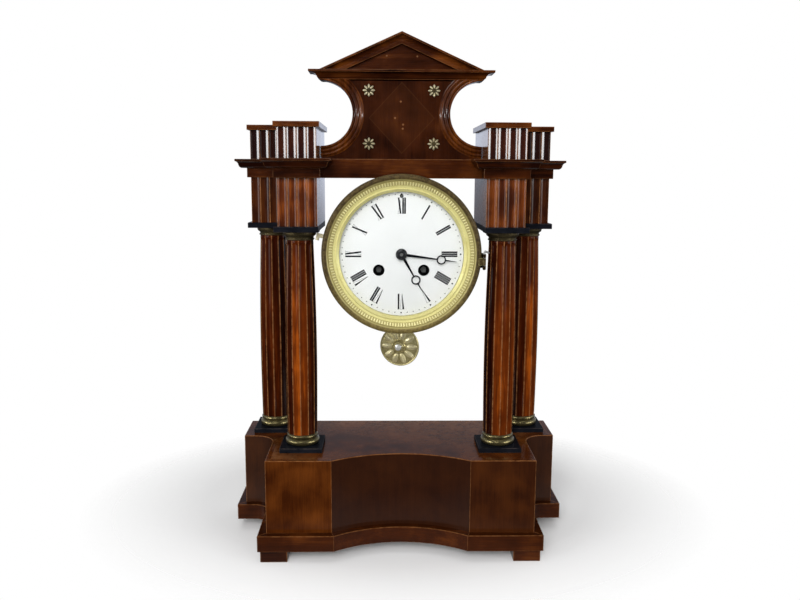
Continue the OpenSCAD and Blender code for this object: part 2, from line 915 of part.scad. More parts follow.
// Enamel dial with three feet that stand on the front plate
module dial() {
    foot_ring = dial_r - dial_foot_in;
    color("#f4f1e8") difference() {
        union() {
            rod([0, 0], dial_r, dial_y, dial_back);
            for (a = [30, 150, 270])
                rod(polar(foot_ring, a), dial_foot_r, dial_back - eps, front_plate_y);
        }
        rod([0, 0], hour_pipe_r + hour_pipe_gap, dial_y - over, dial_back + over);
        for (p = [going_at, strike_at]) rod(p, winder_hole_r, dial_y - over, dial_back + over);
    }
}

// Bezel: flat back, rounded rim, hollow milled ring and the seat of the glass
module bezel() {
    rim_r = rim_w / 2;
    arc = [for (a = [0 : 15 : 90]) [bezel_r - rim_r + rim_r * cos(a), bezel_front + rim_r - rim_r * sin(a)]];
    color("#b8924a") difference() {
        union() {
            turned(concat([[bezel_r, bezel_back]], arc,
                [[bezel_r - rim_w, bezel_front + rim_r], [bezel_r - rim_w, bezel_front + rim_step],
                 [glass_r + glass_in, glass_y - sight_lip], [sight_r, glass_y - sight_lip],
                 [sight_r, glass_y], [glass_r + glass_fit, glass_y],
                 [glass_r + glass_fit, glass_y + glass_t], [sight_r, glass_y + glass_t],
                 [sight_r, bezel_back]]));
            translate([hinge_x, bezel_front, hinge_z]) {
                cylinder(r = knuckle_r, h = knuckle_h - knuckle_gap, center = true);
                translate([-knuckle_r - rim_r, 0, (knuckle_gap - knuckle_h) / 2])
                    cube([knuckle_r + rim_r, knuckle_r, knuckle_h - knuckle_gap]);
            }
        }
        translate([hinge_x, bezel_front, hinge_z])
            cylinder(r = hinge_pin_r + run_fit, h = 2 * knuckle_h, center = true);
    }
}

module bezel_glass() {
    steps = 12;
    front = glass_y + glass_gap;
    back = glass_y + glass_t - glass_gap;
    dome_r = (sight_r * sight_r + glass_dome * glass_dome) / (2 * glass_dome);
    edge = asin((sight_r - 2 * glass_gap) / dome_r);
    dome = [for (i = [0 : steps]) let (a = edge * i / steps)
        [dome_r * sin(a), front + dome_r * (cos(edge) - cos(a))]];
    hollow = [for (i = [steps : -1 : 0]) dome[i] + [0, back - front]];
    color("#dfe8ea", 0.35) turned(concat(dome, [[glass_r, front], [glass_r, back]], hollow));
}

// Pull at the left of the bezel, with its small knob
module bezel_pull() {
    pull_angle = 167;
    reach = 5.6;
    w = 3.2;
    t = 2.4;
    knob_r = 1.4;
    pull_in = 1.8;
    mid_y = bezel_back - t / 2 - pull_in;
    color("#a9843f") translate([0, mid_y, dial_z]) rotate([0, -pull_angle, 0]) {
        difference() {
            translate([bezel_r - over, -t / 2, -w / 2]) cube([reach + over, t, w]);
            rotate([90, 0, 0]) cylinder(r = bezel_r + seat_fit, h = 2 * t, center = true);
        }
        translate([bezel_r + reach - knob_r, 0, w / 2 - eps]) cylinder(r = knob_r, h = t);
    }
}

// Bent wire that serves as the hinge pin
module bezel_hinge_pin() {
    tail = 4.5;
    past = 0.6;
    top = hinge_z + knuckle_h + 3 * hinge_pin_r;
    color("#5a554c") {
        translate([hinge_x, bezel_front, hinge_z - knuckle_h - past])
            cylinder(r = hinge_pin_r, h = top - hinge_z + knuckle_h + past);
        translate([hinge_x, bezel_front, top]) sphere(r = hinge_pin_r);
        translate([hinge_x, bezel_front, top]) rotate([0, 115, 0]) cylinder(r = hinge_pin_r, h = tail);
    }
}

// Hands

// A pierced ring hand along +X: a tapering bar, a ring and a fine tip
module moon_hand(length, ring_at, hub, bore) {
    root_w = 1.3;
    neck_w = 0.6;
    ring_w = 1.1;
    tip_w = 0.7;
    point_w = 0.2;
    sink = 0.4;
    neck = ring_at - hand_ring_r + sink;
    brow = ring_at + hand_ring_r - sink;
    difference() {
        union() {
            circle(hub);
            polygon([[0, -root_w], [neck, -neck_w], [neck, neck_w], [0, root_w]]);
            translate([ring_at, 0]) difference() {
                circle(hand_ring_r);
                circle(hand_ring_r - ring_w);
            }
            polygon([[brow, -tip_w], [length, -point_w], [length, point_w], [brow, tip_w]]);
        }
        circle(bore);
    }
}

module hour_hand() {
    color("#22252c") at_dial(hour_y, hour_y + hand_t) rotate(90 - hour_angle)
        moon_hand(hour_len, hour_ring, hour_pipe_r + hour_hub, hour_pipe_r + seat_fit);
}

module minute_hand() {
    color("#22252c") at_dial(minute_y, minute_y + hand_t) rotate(90 - minute_angle)
        moon_hand(minute_len, minute_ring, pipe_r + minute_hub, pipe_r + seat_fit);
}

module hand_collet() {
    color("#3b3d42") difference() {
        turned([[0, minute_y - collet_t], [collet_r * 0.5, minute_y - collet_t * 0.9],
                [collet_r * 0.85, minute_y - collet_t * 0.6], [collet_r, minute_y], [0, minute_y]]);
        rod([0, 0], arbor_r + seat_fit, minute_y - collet_t - over, minute_y + over);
    }
}

// Movement

module plate_holes(y) {
    y0 = y - over;
    y1 = y + plate_t + over;
    for (p = wheel_places) rod(p, pivot_r + run_fit, y0, y1);
    for (p = [[0, 0], pallet_at, hammer_at]) rod(p, arbor_r + run_fit, y0, y1);
    for (p = [going_at, strike_at]) rod(p, winder_r + run_fit, y0, y1);
    for (p = pillars_at) rod(p, pillar_r / 2 + seat_fit, y0, y1);
}

module front_plate() {
    color("#c9a250") {
        difference() {
            rod([0, 0], plate_r, front_plate_y, inner_y);
            plate_holes(front_plate_y);
        }
        rod(motion_at, motion_post_r, dial_back + end_play, front_plate_y + eps);
    }
}

module back_plate() {
    color("#c9a250") difference() {
        rod([0, 0], plate_r, back_plate_y, drum_back);
        plate_holes(back_plate_y);
    }
}

module pillars() {
    color("#c9a250") for (p = pillars_at) {
        rod(p, pillar_r, inner_y, back_plate_y);
        rod(p, pillar_r / 2, front_plate_y, drum_back);
    }
}

module centre_arbor() {
    mesh = bearing([0, 0], going_at);
    color("#b9bcc2") {
        rod([0, 0], arbor_r, minute_y - arbor_out, drum_back - end_play);
        rod([0, 0], pipe_r, minute_y, front_plate_y - run_fit);
        at_dial(cannon_y, cannon_y + cannon_t) pinion_teeth(cannon_teeth, cannon_module, 90);
        at_dial(going_layer - pinion_over, going_layer + great_t + pinion_over)
            pinion_teeth(centre_pinion, great_module, gap_at(centre_pinion, mesh));
        at_dial(centre_layer, centre_layer + wheel_t)
            wheel_teeth(train_teeth, centre_module, bearing([0, 0], third_at));
    }
}

module motion_wheel() {
    wheel_y = cannon_y + motion_in;
    color("#c9a250") difference() {
        union() {
            at_dial(wheel_y, wheel_y + motion_t) translate(motion_at)
                wheel_teeth(motion_teeth, cannon_module, gap_at(motion_teeth, -90));
            at_dial(hour_wheel_y - motion_pinion_in, wheel_y + motion_t) translate(motion_at)
                pinion_teeth(motion_pinion, hour_module, gap_at(motion_pinion, -90));
        }
        rod(motion_at, motion_post_r + run_fit, dial_back, front_plate_y);
    }
}

module hour_wheel() {
    color("#c9a250") difference() {
        union() {
            at_dial(hour_wheel_y, hour_wheel_y + hour_wheel_t) wheel_teeth(hour_teeth, hour_module, 90);
            rod([0, 0], hour_pipe_r, hour_y - hour_pipe_out, hour_wheel_y + hour_wheel_t);
        }
        rod([0, 0], hour_pipe_in, hour_y - over, hour_wheel_y + hour_wheel_t + over);
    }
}

module barrel(at, wheel_y, y0, y1, a) {
    difference() {
        union() {
            rod(at, barrel_r, y0, y1);
            at_dial(wheel_y, wheel_y + great_t) translate(at) wheel_teeth(great_teeth, great_module, a);
        }
        rod(at, winder_r + run_fit, y0 - over, y1 + over);
    }
}

module going_barrel() {
    color("#c9a250") barrel(going_at, going_layer, going_layer, barrel_end, bearing(going_at, [0, 0]));
}

module strike_barrel() {
    color("#c9a250") barrel(strike_at, strike_layer, going_layer, barrel_end, pin_angle);
}

// Winding arbor with its square for the key
module winder(at) {
    square_w = winder_r * 1.4;
    rod(at, winder_r, front_plate_y - over, drum_back - end_play);
    at_dial(dial_y + end_gap, front_plate_y) translate(at) square(square_w, center = true);
}

module going_winder() {
    color("#8c8f94") winder(going_at);
}

module strike_winder() {
    color("#8c8f94") winder(strike_at);
}

module third_wheel() {
    color("#c9a250") {
        wheel_arbor(third_at);
        at_dial(centre_layer - pinion_over, centre_layer + wheel_t + pinion_over) translate(third_at)
            pinion_teeth(train_pinion, centre_module, gap_at(train_pinion, bearing(third_at, [0, 0])));
        at_dial(third_layer, third_layer + wheel_t) translate(third_at)
            wheel_teeth(train_teeth, third_module, bearing(third_at, escape_at));
    }
}

module escape_wheel() {
    tooth_h = 1.6;
    root = escape_r - tooth_h;
    lead = 0.15;
    land = 0.1;
    heel = 0.6;
    p = 360 / escape_teeth;
    color("#c9a250") {
        wheel_arbor(escape_at);
        at_dial(third_layer - pinion_over, third_layer + wheel_t + pinion_over) translate(escape_at)
            pinion_teeth(train_pinion, third_module, gap_at(train_pinion, bearing(escape_at, third_at)));
        at_dial(escape_layer, escape_layer + wheel_t) translate(escape_at)
            polygon([for (i = [0 : escape_teeth - 1]) each [
                polar(root, i * p), polar(escape_r, (i + lead) * p),
                polar(escape_r, (i + lead + land) * p), polar(root, (i + heel) * p)]]);
    }
}

// Anchor over the escape wheel, with its arbor and the crutch behind the back plate
module pallet_anchor() {
    clear = 1.1;
    pallet_angle = 48;
    arm_w = 1.6;
    pallet_w = 1.4;
    fork = rod_r + fork_gap + fork_pin_r;
    color("#8c8f94") {
        rod(pallet_at, arbor_r, front_plate_y + end_play, cock_y - end_play);
        rod(pallet_at, pivot_r, cock_y - over, cock_y + cock_t - end_play);
        at_dial(escape_layer, escape_layer + wheel_t) {
            translate(pallet_at) circle(arbor_r + boss_w);
            for (s = [-1, 1]) {
                tip = escape_at
                    + (escape_r + clear) * [s * sin(pallet_angle), cos(pallet_angle)];
                knee = [s * (escape_r + clear) * 0.95, pallet_up - escape_drop * 0.3];
                bar(pallet_at, knee, arm_w);
                bar(knee + [0, arm_w / 2], [knee[0], tip[1]], pallet_w);
            }
        }
        at_dial(crutch_y, crutch_y + crutch_t) {
            translate(pallet_at) circle(arbor_r + boss_w);
            bar(pallet_at, pallet_at - [0, crutch_len], crutch_w);
            translate(pallet_at - [fork + fork_pin_r, crutch_len])
                square([2 * (fork + fork_pin_r), crutch_w]);
        }
        for (s = [-1, 1])
            rod(pallet_at + [s * fork, crutch_w / 2 - crutch_len], fork_pin_r, crutch_y,
                rod_y + rod_r + fork_past);
    }
}

// Bridge behind the back plate that bears the pallet arbor and holds the pendulum
module pendulum_cock() {
    half_w = 14;
    leg_w = 4;
    clamp_half = 2.8;
    clamp_h = 5;
    color("#c9a250") difference() {
        union() {
            for (x = [-half_w, half_w - leg_w]) at_dial(drum_back, cock_y + eps)
                translate([x, pallet_up - cock_half_h]) square([leg_w, 2 * cock_half_h]);
            at_dial(cock_y, cock_y + cock_t) translate([-half_w, pallet_up - cock_half_h])
                square([2 * half_w, 2 * cock_half_h]);
            at_dial(cock_y + cock_t - eps, rod_y + spring_w) translate([-clamp_half, pallet_up + spring_gap])
                square([2 * clamp_half, clamp_h]);
        }
        rod(pallet_at, pivot_r + run_fit, cock_y - over, cock_y + cock_t + eps);
    }
}

// Rod with its suspension spring, which bends at the cock
module pendulum_rod() {
    block = 3;
    color("#a98a4e") {
        translate([0, rod_y, bob_z - rod_past])
            cylinder(r = rod_r, h = pivot_z - spring_len - bob_z + rod_past + over);
        translate([-block / 2, rod_y - block / 2, pivot_z - spring_len])
            cube([block, block, spring_len / 2]);
        translate([-spring_t / 2, rod_y - spring_w / 2, pivot_z - spring_len])
            cube([spring_t, spring_w, spring_len]);
    }
}

module pendulum_bob() {
    edge = 1.5;
    boss_r = 5;
    boss_t = 3.4;
    bevel = 1;
    half = bob_t / 2;
    shoulder = bob_r * 0.7;
    color("#c79a4b") difference() {
        translate([0, rod_y, bob_z]) rotate([90, 0, bob_turn]) rotate_extrude()
            polygon([[0, -half], [shoulder, bevel - half], [bob_r, -edge / 2], [bob_r, edge / 2],
                     [shoulder, half - bevel], [boss_r, half], [boss_r, half + boss_t - bevel],
                     [boss_r - bevel, half + boss_t], [0, half + boss_t]]);
        translate([0, rod_y, bob_z - rod_past - end_gap]) cylinder(r = rod_r + seat_fit, h = 2 * bob_r);
    }
}

// Wheel whose pins lift the hammer
module pin_wheel() {
    color("#c9a250") {
        wheel_arbor(pin_at);
        at_dial(strike_layer - pinion_over, strike_layer + great_t + pinion_over) translate(pin_at)
            pinion_teeth(pin_pinion, great_module, gap_at(pin_pinion, bearing(pin_at, strike_at)));
        at_dial(pin_layer, pin_layer + wheel_t) translate(pin_at)
            wheel_teeth(pin_teeth, pin_wheel_module, 0);
        for (i = [0 : pin_count - 1])
            rod(pin_at + polar(pin_ring, 360 * i / pin_count), lift_pin_r, pin_layer,
                pin_layer + wheel_t + lift_pin_len);
    }
}

// Hammer arbor, tail by the pins, stem and head beside the bell
module hammer() {
    tail_y = pin_layer + wheel_t + tail_gap;
    toward = (pin_at - hammer_at) / norm(pin_at - hammer_at);
    color("#8c8f94") {
        rod(hammer_at, arbor_r, front_plate_y + end_play, crutch_y + stem_t);
        at_dial(tail_y, tail_y + tail_t) bar(hammer_at, pin_at - toward * (pin_ring + tail_clear), stem_w);
        at_dial(crutch_y, crutch_y + stem_t) {
            translate(hammer_at) circle(arbor_r + boss_w);
            bar(hammer_at, head_at, stem_w);
        }
        rod(head_at, head_r, crutch_y, bell_y + head_past);
    }
}

module bell() {
    // Cup opening towards the back plate: crown at the back
    outer = [for (a = [0 : 15 : 90]) [bell_r * (0.55 + 0.45 * cos(a)), bell_y + bell_h * sin(a)]];
    inner = [for (a = [90 : -15 : 0])
        [(bell_r - bell_wall) * (0.55 + 0.45 * cos(a)), bell_y + (bell_h - bell_wall) * sin(a)]];
    color("#b9b39a") translate([bell_at[0], 0, bell_at[1]]) difference() {
        turned(concat(outer, [[0, bell_y + bell_h], [0, bell_y + bell_h - bell_wall]], inner));
        rod([0, 0], bell_screw_r + seat_fit, bell_y, bell_y + bell_h + over);
    }
}

module bell_stand() {
    post_r = 2.5;
    nut_r = 4;
    nut_t = 2.2;
    crown = bell_y + bell_h;
    color("#c9a250") {
        rod(bell_at, post_r, drum_back, crown - bell_wall);
        rod(bell_at, bell_screw_r, drum_back, crown + nut_t);
        rod(bell_at, nut_r, crown, crown + nut_t);
    }
}

feet();
base_plinth();
base_body();
column_plinths();
column_base_rings();
column_front_left();
column_front_right();
column_rear_left();
column_rear_right();
capital_rings();
abacus_left();
abacus_right();
frieze_block_left();
frieze_block_right();
architrave_left();
architrave_right();
cornice_left();
cornice_right();
attic_block_left();
attic_block_right();
attic_cap_left();
attic_cap_right();
lintel();
pediment_panel();
scroll_mouldings();
pediment_cornice();
tympanum();
raking_cornice();
rosettes();
drum();
drum_saddle();
hanger_screws();
dial();
bezel();
bezel_glass();
bezel_pull();
bezel_hinge_pin();
hour_hand();
minute_hand();
hand_collet();
front_plate();
back_plate();
pillars();
centre_arbor();
motion_wheel();
hour_wheel();
going_barrel();
going_winder();
strike_barrel();
strike_winder();
third_wheel();
escape_wheel();
pallet_anchor();
pendulum_cock();
pendulum_rod();
pendulum_bob();
pin_wheel();
hammer();
bell_stand();
bell();
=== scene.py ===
import bpy
import bmesh
import json
import math
from mathutils import Matrix, Vector
from mathutils.geometry import tessellate_polygon


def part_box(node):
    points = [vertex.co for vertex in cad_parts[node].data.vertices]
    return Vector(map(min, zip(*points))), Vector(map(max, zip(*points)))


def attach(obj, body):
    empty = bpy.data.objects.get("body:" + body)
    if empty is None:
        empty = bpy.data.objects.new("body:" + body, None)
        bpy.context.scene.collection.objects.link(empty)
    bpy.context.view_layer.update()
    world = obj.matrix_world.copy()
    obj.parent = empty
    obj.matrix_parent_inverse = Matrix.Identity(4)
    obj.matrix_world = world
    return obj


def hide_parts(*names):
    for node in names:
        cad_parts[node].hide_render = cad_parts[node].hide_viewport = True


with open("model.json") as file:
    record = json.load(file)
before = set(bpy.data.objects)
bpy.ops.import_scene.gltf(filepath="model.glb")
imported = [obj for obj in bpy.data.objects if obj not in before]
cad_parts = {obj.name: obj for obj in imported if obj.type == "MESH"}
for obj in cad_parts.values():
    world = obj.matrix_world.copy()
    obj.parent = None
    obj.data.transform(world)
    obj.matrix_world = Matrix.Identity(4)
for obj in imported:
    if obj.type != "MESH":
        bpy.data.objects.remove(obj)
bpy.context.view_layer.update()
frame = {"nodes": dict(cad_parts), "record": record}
cadNodes = frame["nodes"]
scene = bpy.context.scene
scene.view_settings.view_transform = "Standard"
mm = 0.001
quarterTurn, fullTurn = math.pi / 2, 2 * math.pi


def boxMm(node):
    low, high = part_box(node)
    return low / mm, high / mm


def pick(values, names):
    return [values[name] for name in names.split()]


def fan(steps, stop=quarterTurn, start=0.0):
    return [start + (stop - start) * i / steps for i in range(steps + 1)]


def camel(node):
    first, *words = node.split("_")
    return first + "".join(word.capitalize() for word in words)


tier = {name: (boxMm(name)[0].z, boxMm(name)[1].z) for name in cadNodes}   # heights of each node
bodies = frame["record"]["behaviour"]["bodies"]
bodyOf = {node: body for body, members in bodies.items() for node in members}


# node trees: a Wire is a socket that can be added, multiplied and so on
class Wire:
    def __init__(self, bench, socket):
        self.bench = bench
        self.socket = socket

    def calc(self, operation, other=0.0):
        return self.bench.add("ShaderNodeMath", {"operation": operation}, {0: self, 1: other})

    def __rsub__(self, other):
        return self.bench.add("ShaderNodeMath", {"operation": "SUBTRACT"}, {0: other, 1: self})

    def inside(self):
        return self.bench.add("ShaderNodeClamp", {}, {"Value": self})

    def ramp(self, low, high):
        return ((self - low) / (high - low)).inside()


for method, operation in (("add", "ADD"), ("radd", "ADD"), ("sub", "SUBTRACT"), ("mul", "MULTIPLY"),
                          ("truediv", "DIVIDE"), ("pow", "POWER")):
    setattr(Wire, f"__{method}__", lambda self, other, kind=operation: self.calc(kind, other))


class Bench:
    def __init__(self, tree, material=None):
        self.tree = tree
        self.material = material

    def add(self, kind, settings=None, sockets=None, out=0):
        node = self.tree.nodes.new(kind)
        for key, value in (settings or {}).items():
            setattr(node, key, value)
        for key, value in (sockets or {}).items():
            socket = node.inputs[key]
            if isinstance(value, Wire):
                self.tree.links.new(value.socket, socket)
            else:
                socket.default_value = (*value, 1.0) if socket.type == "RGBA" else value
        return Wire(self, node.outputs[out])

    def geo(self, kind, sockets=None):
        return self.add("GeometryNode" + kind, {}, sockets)

    def join(self, x=0.0, y=0.0, z=0.0):
        return self.add("ShaderNodeCombineXYZ", {}, {0: x, 1: y, 2: z})

    def split(self, vector):
        return [self.add("ShaderNodeSeparateXYZ", {}, {0: vector}, axis) for axis in "XYZ"]

    def spot(self, shift=0.0, stretch=(1.0, 1.0, 1.0)):
        place = self.add("ShaderNodeTexCoord", {}, {}, "Object")
        scale = tuple(1000.0 * s for s in stretch)   # the patterns count in millimetres
        return self.add("ShaderNodeMapping", {}, {"Vector": place, "Scale": scale,
                                                  "Location": (shift, shift * 0.7, shift * 1.3)})

    def xyz(self):
        return self.split(self.spot())

    def noise(self, at, scale, detail=2.0, rough=0.5, warp=0.0):
        return self.add("ShaderNodeTexNoise", {}, {"Vector": at, "Scale": scale, "Detail": detail,
                                                   "Roughness": rough, "Distortion": warp})

    def mix(self, factor, low, high, blend="MIX"):
        return self.add("ShaderNodeMix", {"data_type": "RGBA", "blend_type": blend},
                        {0: factor, 6: low, 7: high}, 2)

    def tint(self, factor, stops):
        made = self.add("ShaderNodeValToRGB", {}, {"Fac": factor})
        ramp = made.socket.node.color_ramp
        ramp.elements[0].position = stops[0][0]
        ramp.elements[1].position = stops[-1][0]
        for place, colour in stops[1:-1]:
            ramp.elements.new(place)
        for stop, (place, colour) in zip(ramp.elements, stops):
            stop.color = (*colour, 1.0)
        return made

    def mark(self, name):
        return self.add("ShaderNodeAttribute", {"attribute_name": name}, {}, "Fac")

    def bump(self, height, strength, distance):
        return self.add("ShaderNodeBump", {}, {"Height": height, "Strength": strength, "Distance": distance})

    def surface(self, sockets):
        return self.add("ShaderNodeBsdfPrincipled", {}, sockets)

    def close(self, shader):
        out = self.tree.nodes.new("ShaderNodeOutputMaterial")
        self.tree.links.new(shader.socket, out.inputs["Surface"])
        return self.material


def newBench(name):
    material = bpy.data.materials.new(name)
    material.use_nodes = True
    material.node_tree.nodes.clear()
    return Bench(material.node_tree, material)


# finishes
# the hollow colour is painted shade, laid into hollows where the wear mark is below nought
woodTones = {"pore": (0.004, 0.0011, 0.0006), "dark": (0.010, 0.0021, 0.0007),
             "mid": (0.038, 0.0082, 0.0014), "light": (0.115, 0.030, 0.0042), "glow": (0.32, 0.098, 0.010),
             "rubbed": (0.30, 0.130, 0.046), "hollow": (0.011, 0.0018, 0.0010),
             "stops": (0.24, 0.52, 0.82, 1.0), "along": 0.05, "evenShift": 31.0, "middle": 0.775}
# scale, detail, roughness and warp of each pattern
woodNoise = {"fibre": (1.3, 3.0, 0.6), "streak": (0.17, 4.0, 0.55, 0.12), "mottle": (0.045, 2.0, 0.45, 0.3),
             "pores": (2.6, 1.0, 0.5), "patches": (0.22, 3.0, 0.6), "ripple": (0.09, 2.0, 0.5)}


def frenchPolish(name, grain, lean, figure, seed, worn, gloss, dress=None, vary=1.35, grime=0.7):
    bench = newBench(name)
    fibreAt = bench.spot(seed, tuple(woodTones["along"] if axis == grain else 1.0 for axis in "xyz"))
    evenAt = bench.spot(seed + woodTones["evenShift"])
    fibre, streak, pores = (bench.noise(fibreAt, *row) for row in pick(woodNoise, "fibre streak pores"))
    mottle, patches, ripple = (bench.noise(evenAt, *row) for row in pick(woodNoise, "mottle patches ripple"))
    tone = fibre * 0.35 + streak * (1.1 - figure) + mottle * (figure + 0.1) + bench.mark("stave")
    tone = tone * vary + (0.5 + lean - woodTones["middle"] * vary)
    stops = list(zip(woodTones["stops"], pick(woodTones, "dark mid light glow")))
    colour = bench.mix(pores.ramp(0.64, 0.76) * 0.5, bench.tint(tone, stops), woodTones["pore"])
    if dress:
        colour = dress(bench, colour)
    wear = bench.mark("wear")   # above nought on rubbed edges, below it in hollows, which are painted darker as shade
    colour = bench.mix((wear * -1.0).inside() * grime, colour, woodTones["hollow"])
    rub = (wear.inside() + bench.mark("rub")).inside() * (patches.ramp(0.32, 0.58) * 0.65 + 0.25) * worn
    colour = bench.mix(rub, colour, woodTones["rubbed"])
    return bench.close(bench.surface({
        "Base Color": colour, "Roughness": fibre * 0.06 + mottle * 0.08 + rub * 0.15 + 0.10,
        "Normal": bench.bump(fibre * 0.3 + ripple, 0.25, 0.0002), "IOR": 1.45,
        "Specular IOR Level": 0.06 + gloss * 0.4, "Coat Weight": gloss, "Coat Roughness": 0.05,
        "Coat IOR": 1.45}))


ebonyTones = {"dark": (0.0028, 0.003, 0.0042), "pale": (0.010, 0.011, 0.0155), "rubbed": (0.06, 0.045, 0.04),
              "seed": 7.0, "stretch": (0.06, 1.0, 1.0), "fibre": (1.6, 3.0, 0.6), "cloud": (0.12, 3.0, 0.5)}


def ebonised(name):
    bench = newBench(name)
    dark, pale, rubbed, seed, stretch = pick(ebonyTones, "dark pale rubbed seed stretch")
    fibre = bench.noise(bench.spot(seed, stretch), *ebonyTones["fibre"])
    cloud = bench.noise(bench.spot(seed), *ebonyTones["cloud"])
    colour = bench.tint(fibre * 0.5 + cloud * 0.5, [(0.3, dark), (0.7, pale)])
    rub = (bench.mark("wear") + bench.mark("rub")).inside() * cloud.ramp(0.42, 0.66)
    return bench.close(bench.surface({
        "Base Color": bench.mix(rub * 0.5, colour, rubbed), "Roughness": fibre * 0.12 + rub * 0.2 + 0.16,
        "Specular IOR Level": 0.0, "Normal": bench.bump(fibre, 0.2, 0.0001), "Coat Weight": 0.18,
        "Coat Roughness": 0.1}))


metalNoise = {"cloud": (0.07, 4.0, 0.6, 0.5), "speck": (0.8, 3.0, 0.65), "fine": (5.0, 2.0, 0.6),
              "brushed": (0.12, 1.0, 1.0)}


def agedMetal(name, bright, dull, foul, rough, seed, age=0.5, metal=1.0, dress=None):
    bench = newBench(name)
    evenAt = bench.spot(seed)
    cloud, speck = (bench.noise(evenAt, *row) for row in pick(metalNoise, "cloud speck"))
    fine = bench.noise(bench.spot(seed, metalNoise["brushed"]), *metalNoise["fine"])
    stain = (cloud * 0.7 + speck * 0.5 - 0.35 + (age - 0.5) * 0.5).ramp(0.12, 0.42)
    colour = bench.mix(stain, bright, dull)
    colour = bench.mix(speck.ramp(0.60, 0.74) * (0.2 + age * 0.5), colour, foul)
    if dress:
        colour = dress(bench, colour, stain)
    colour = bench.mix((bench.mark("wear") + bench.mark("rub")).inside() * 0.6, colour, bright)
    return bench.close(bench.surface({
        "Base Color": colour, "Metallic": metal, "Roughness": stain * 0.16 + fine * 0.14 + (rough - 0.07),
        "Specular IOR Level": 0.3, "Normal": bench.bump(fine * 0.4 + speck * 0.6, 0.18, 0.0001)}))


def spots(bench, colour, places, radius, shade):
    x, y, z = bench.xyz()
    for px, pz in places:
        far = ((x - px) ** 2.0 + (z - pz) ** 2.0) ** 0.5
        colour = bench.mix((1.0 - far.ramp(radius * 0.5, radius)) * 0.7, colour, shade)
    return colour


lozenge = {"x": 0.3, "z": 355.9, "halfX": 26.6, "halfZ": 28.4, "lineW": 0.6, "pinR": 1.0, "fill": 0.20,
           "fillShade": (0.045, 0.013, 0.003), "line": 0.16, "lineShade": (0.13, 0.05, 0.016),
           "pinShade": (0.24, 0.10, 0.04),
           "pins": [(-5.2, 355.9), (1.4, 350.7), (1.1, 347.4), (-0.6, 369.0)]}


def dressPanel(bench, colour):
    halfX, wide = pick(lozenge, "halfX lineW")
    x, y, z = bench.xyz()
    away = (x - lozenge["x"]).calc("ABSOLUTE") / halfX
    away = away + (z - lozenge["z"]).calc("ABSOLUTE") / lozenge["halfZ"]
    within = 1.0 - away.ramp(0.985, 1.0)
    line = 1.0 - ((away - 1.0).calc("ABSOLUTE") * halfX).ramp(wide * 0.4, wide)
    colour = bench.mix(within * lozenge["fill"], colour, lozenge["fillShade"])
    colour = bench.mix(line * lozenge["line"], colour, lozenge["lineShade"])
    return spots(bench, colour, *pick(lozenge, "pins pinR pinShade"))


gablePins = {"places": [(-12.1, 405.0), (12.6, 404.7)], "radius": 0.9, "shade": (0.20, 0.09, 0.04)}


def dressTympanum(bench, colour):
    return spots(bench, colour, *pick(gablePins, "places radius shade"))


# painted shade on the frieze and attic blocks: darker on the rear blocks, towards both ends of each block
# and, on the frieze, on the right-hand block; warm is the wood's own tint
paintedBlockShade = {"rearX": 97.8, "rear": 0.75, "ends": 0.55, "reach": 8.0, "shade": (0.0085, 0.0030, 0.0017),
         "warm": (1.0, 0.74, 0.80)}


def dressBlock(node, right=0.0):
    low, high = tier[node]
    rearX, reach = pick(paintedBlockShade, "rearX reach")

    def dress(bench, colour):
        x, y, z = bench.xyz()
        rear = x.calc("ABSOLUTE").ramp(rearX - 0.4, rearX) * paintedBlockShade["rear"]
        ends = (1.0 - z.ramp(low, low + reach)) + z.ramp(high - reach * 0.5, high)
        colour = bench.mix(1.0, colour, paintedBlockShade["warm"], "MULTIPLY")
        # painted shade: rear blocks, block ends and the right-hand side are darkened
        paintedShadeMask = rear.calc("MAXIMUM", ends * paintedBlockShade["ends"]).calc("MAXIMUM", x.ramp(0.0, 1.0) * right)
        return bench.mix(paintedShadeMask, colour, paintedBlockShade["shade"])

    return dress


# painted shade on the base: the bay and right pedestal fronts and the rear pedestals are darker, as light
# falls less on them
paintedBaseShade = {"bayHalf": 56.0, "frontY": -31.0, "topZ": (83.3, 83.6), "bay": 0.82, "right": 0.55, "rear": 0.7,
          "rearX": 109.5, "shade": (0.0165, 0.0060, 0.0036), "rearShade": (0.026, 0.0135, 0.0095)}


def dressBase(bench, colour):
    half, frontY, rearX = pick(paintedBaseShade, "bayHalf frontY rearX")
    x, y, z = bench.xyz()
    under = 1.0 - z.ramp(*paintedBaseShade["topZ"])
    front = (1.0 - y.ramp(frontY - 0.5, frontY + 0.5)) * under
    bay = 1.0 - x.calc("ABSOLUTE").ramp(half - 0.4, half)
    right = x.ramp(half - 0.4, half)
    # painted shade: the bay and right pedestal fronts are darkened
    colour = bench.mix(front * (bay * paintedBaseShade["bay"] + right * paintedBaseShade["right"]), colour, paintedBaseShade["shade"])
    # painted shade: the rear pedestals are darkened
    rear = x.calc("ABSOLUTE").ramp(rearX, rearX + 1.0) * under
    return bench.mix(rear * paintedBaseShade["rear"], colour, paintedBaseShade["rearShade"])


shaftTone = {"warm": (1.0, 0.68, 0.50), "topZ": (205.0, 255.0), "top": 0.55,
             "topShade": (0.030, 0.0045, 0.0014), "stain": 0.55, "stainShade": (0.006, 0.0016, 0.0008),
             "stretch": (1.0, 1.0, 0.16), "seed": 21.0, "noise": (0.11, 3.0, 0.55)}


def dressColumn(bench, colour):
    x, y, z = bench.xyz()
    colour = bench.mix(1.0, colour, shaftTone["warm"], "MULTIPLY")
    colour = bench.mix(z.ramp(*shaftTone["topZ"]) * shaftTone["top"], colour, shaftTone["topShade"])
    stain = bench.noise(bench.spot(*pick(shaftTone, "seed stretch")), *shaftTone["noise"])
    return bench.mix(stain.ramp(0.56, 0.68) * shaftTone["stain"], colour, shaftTone["stainShade"])


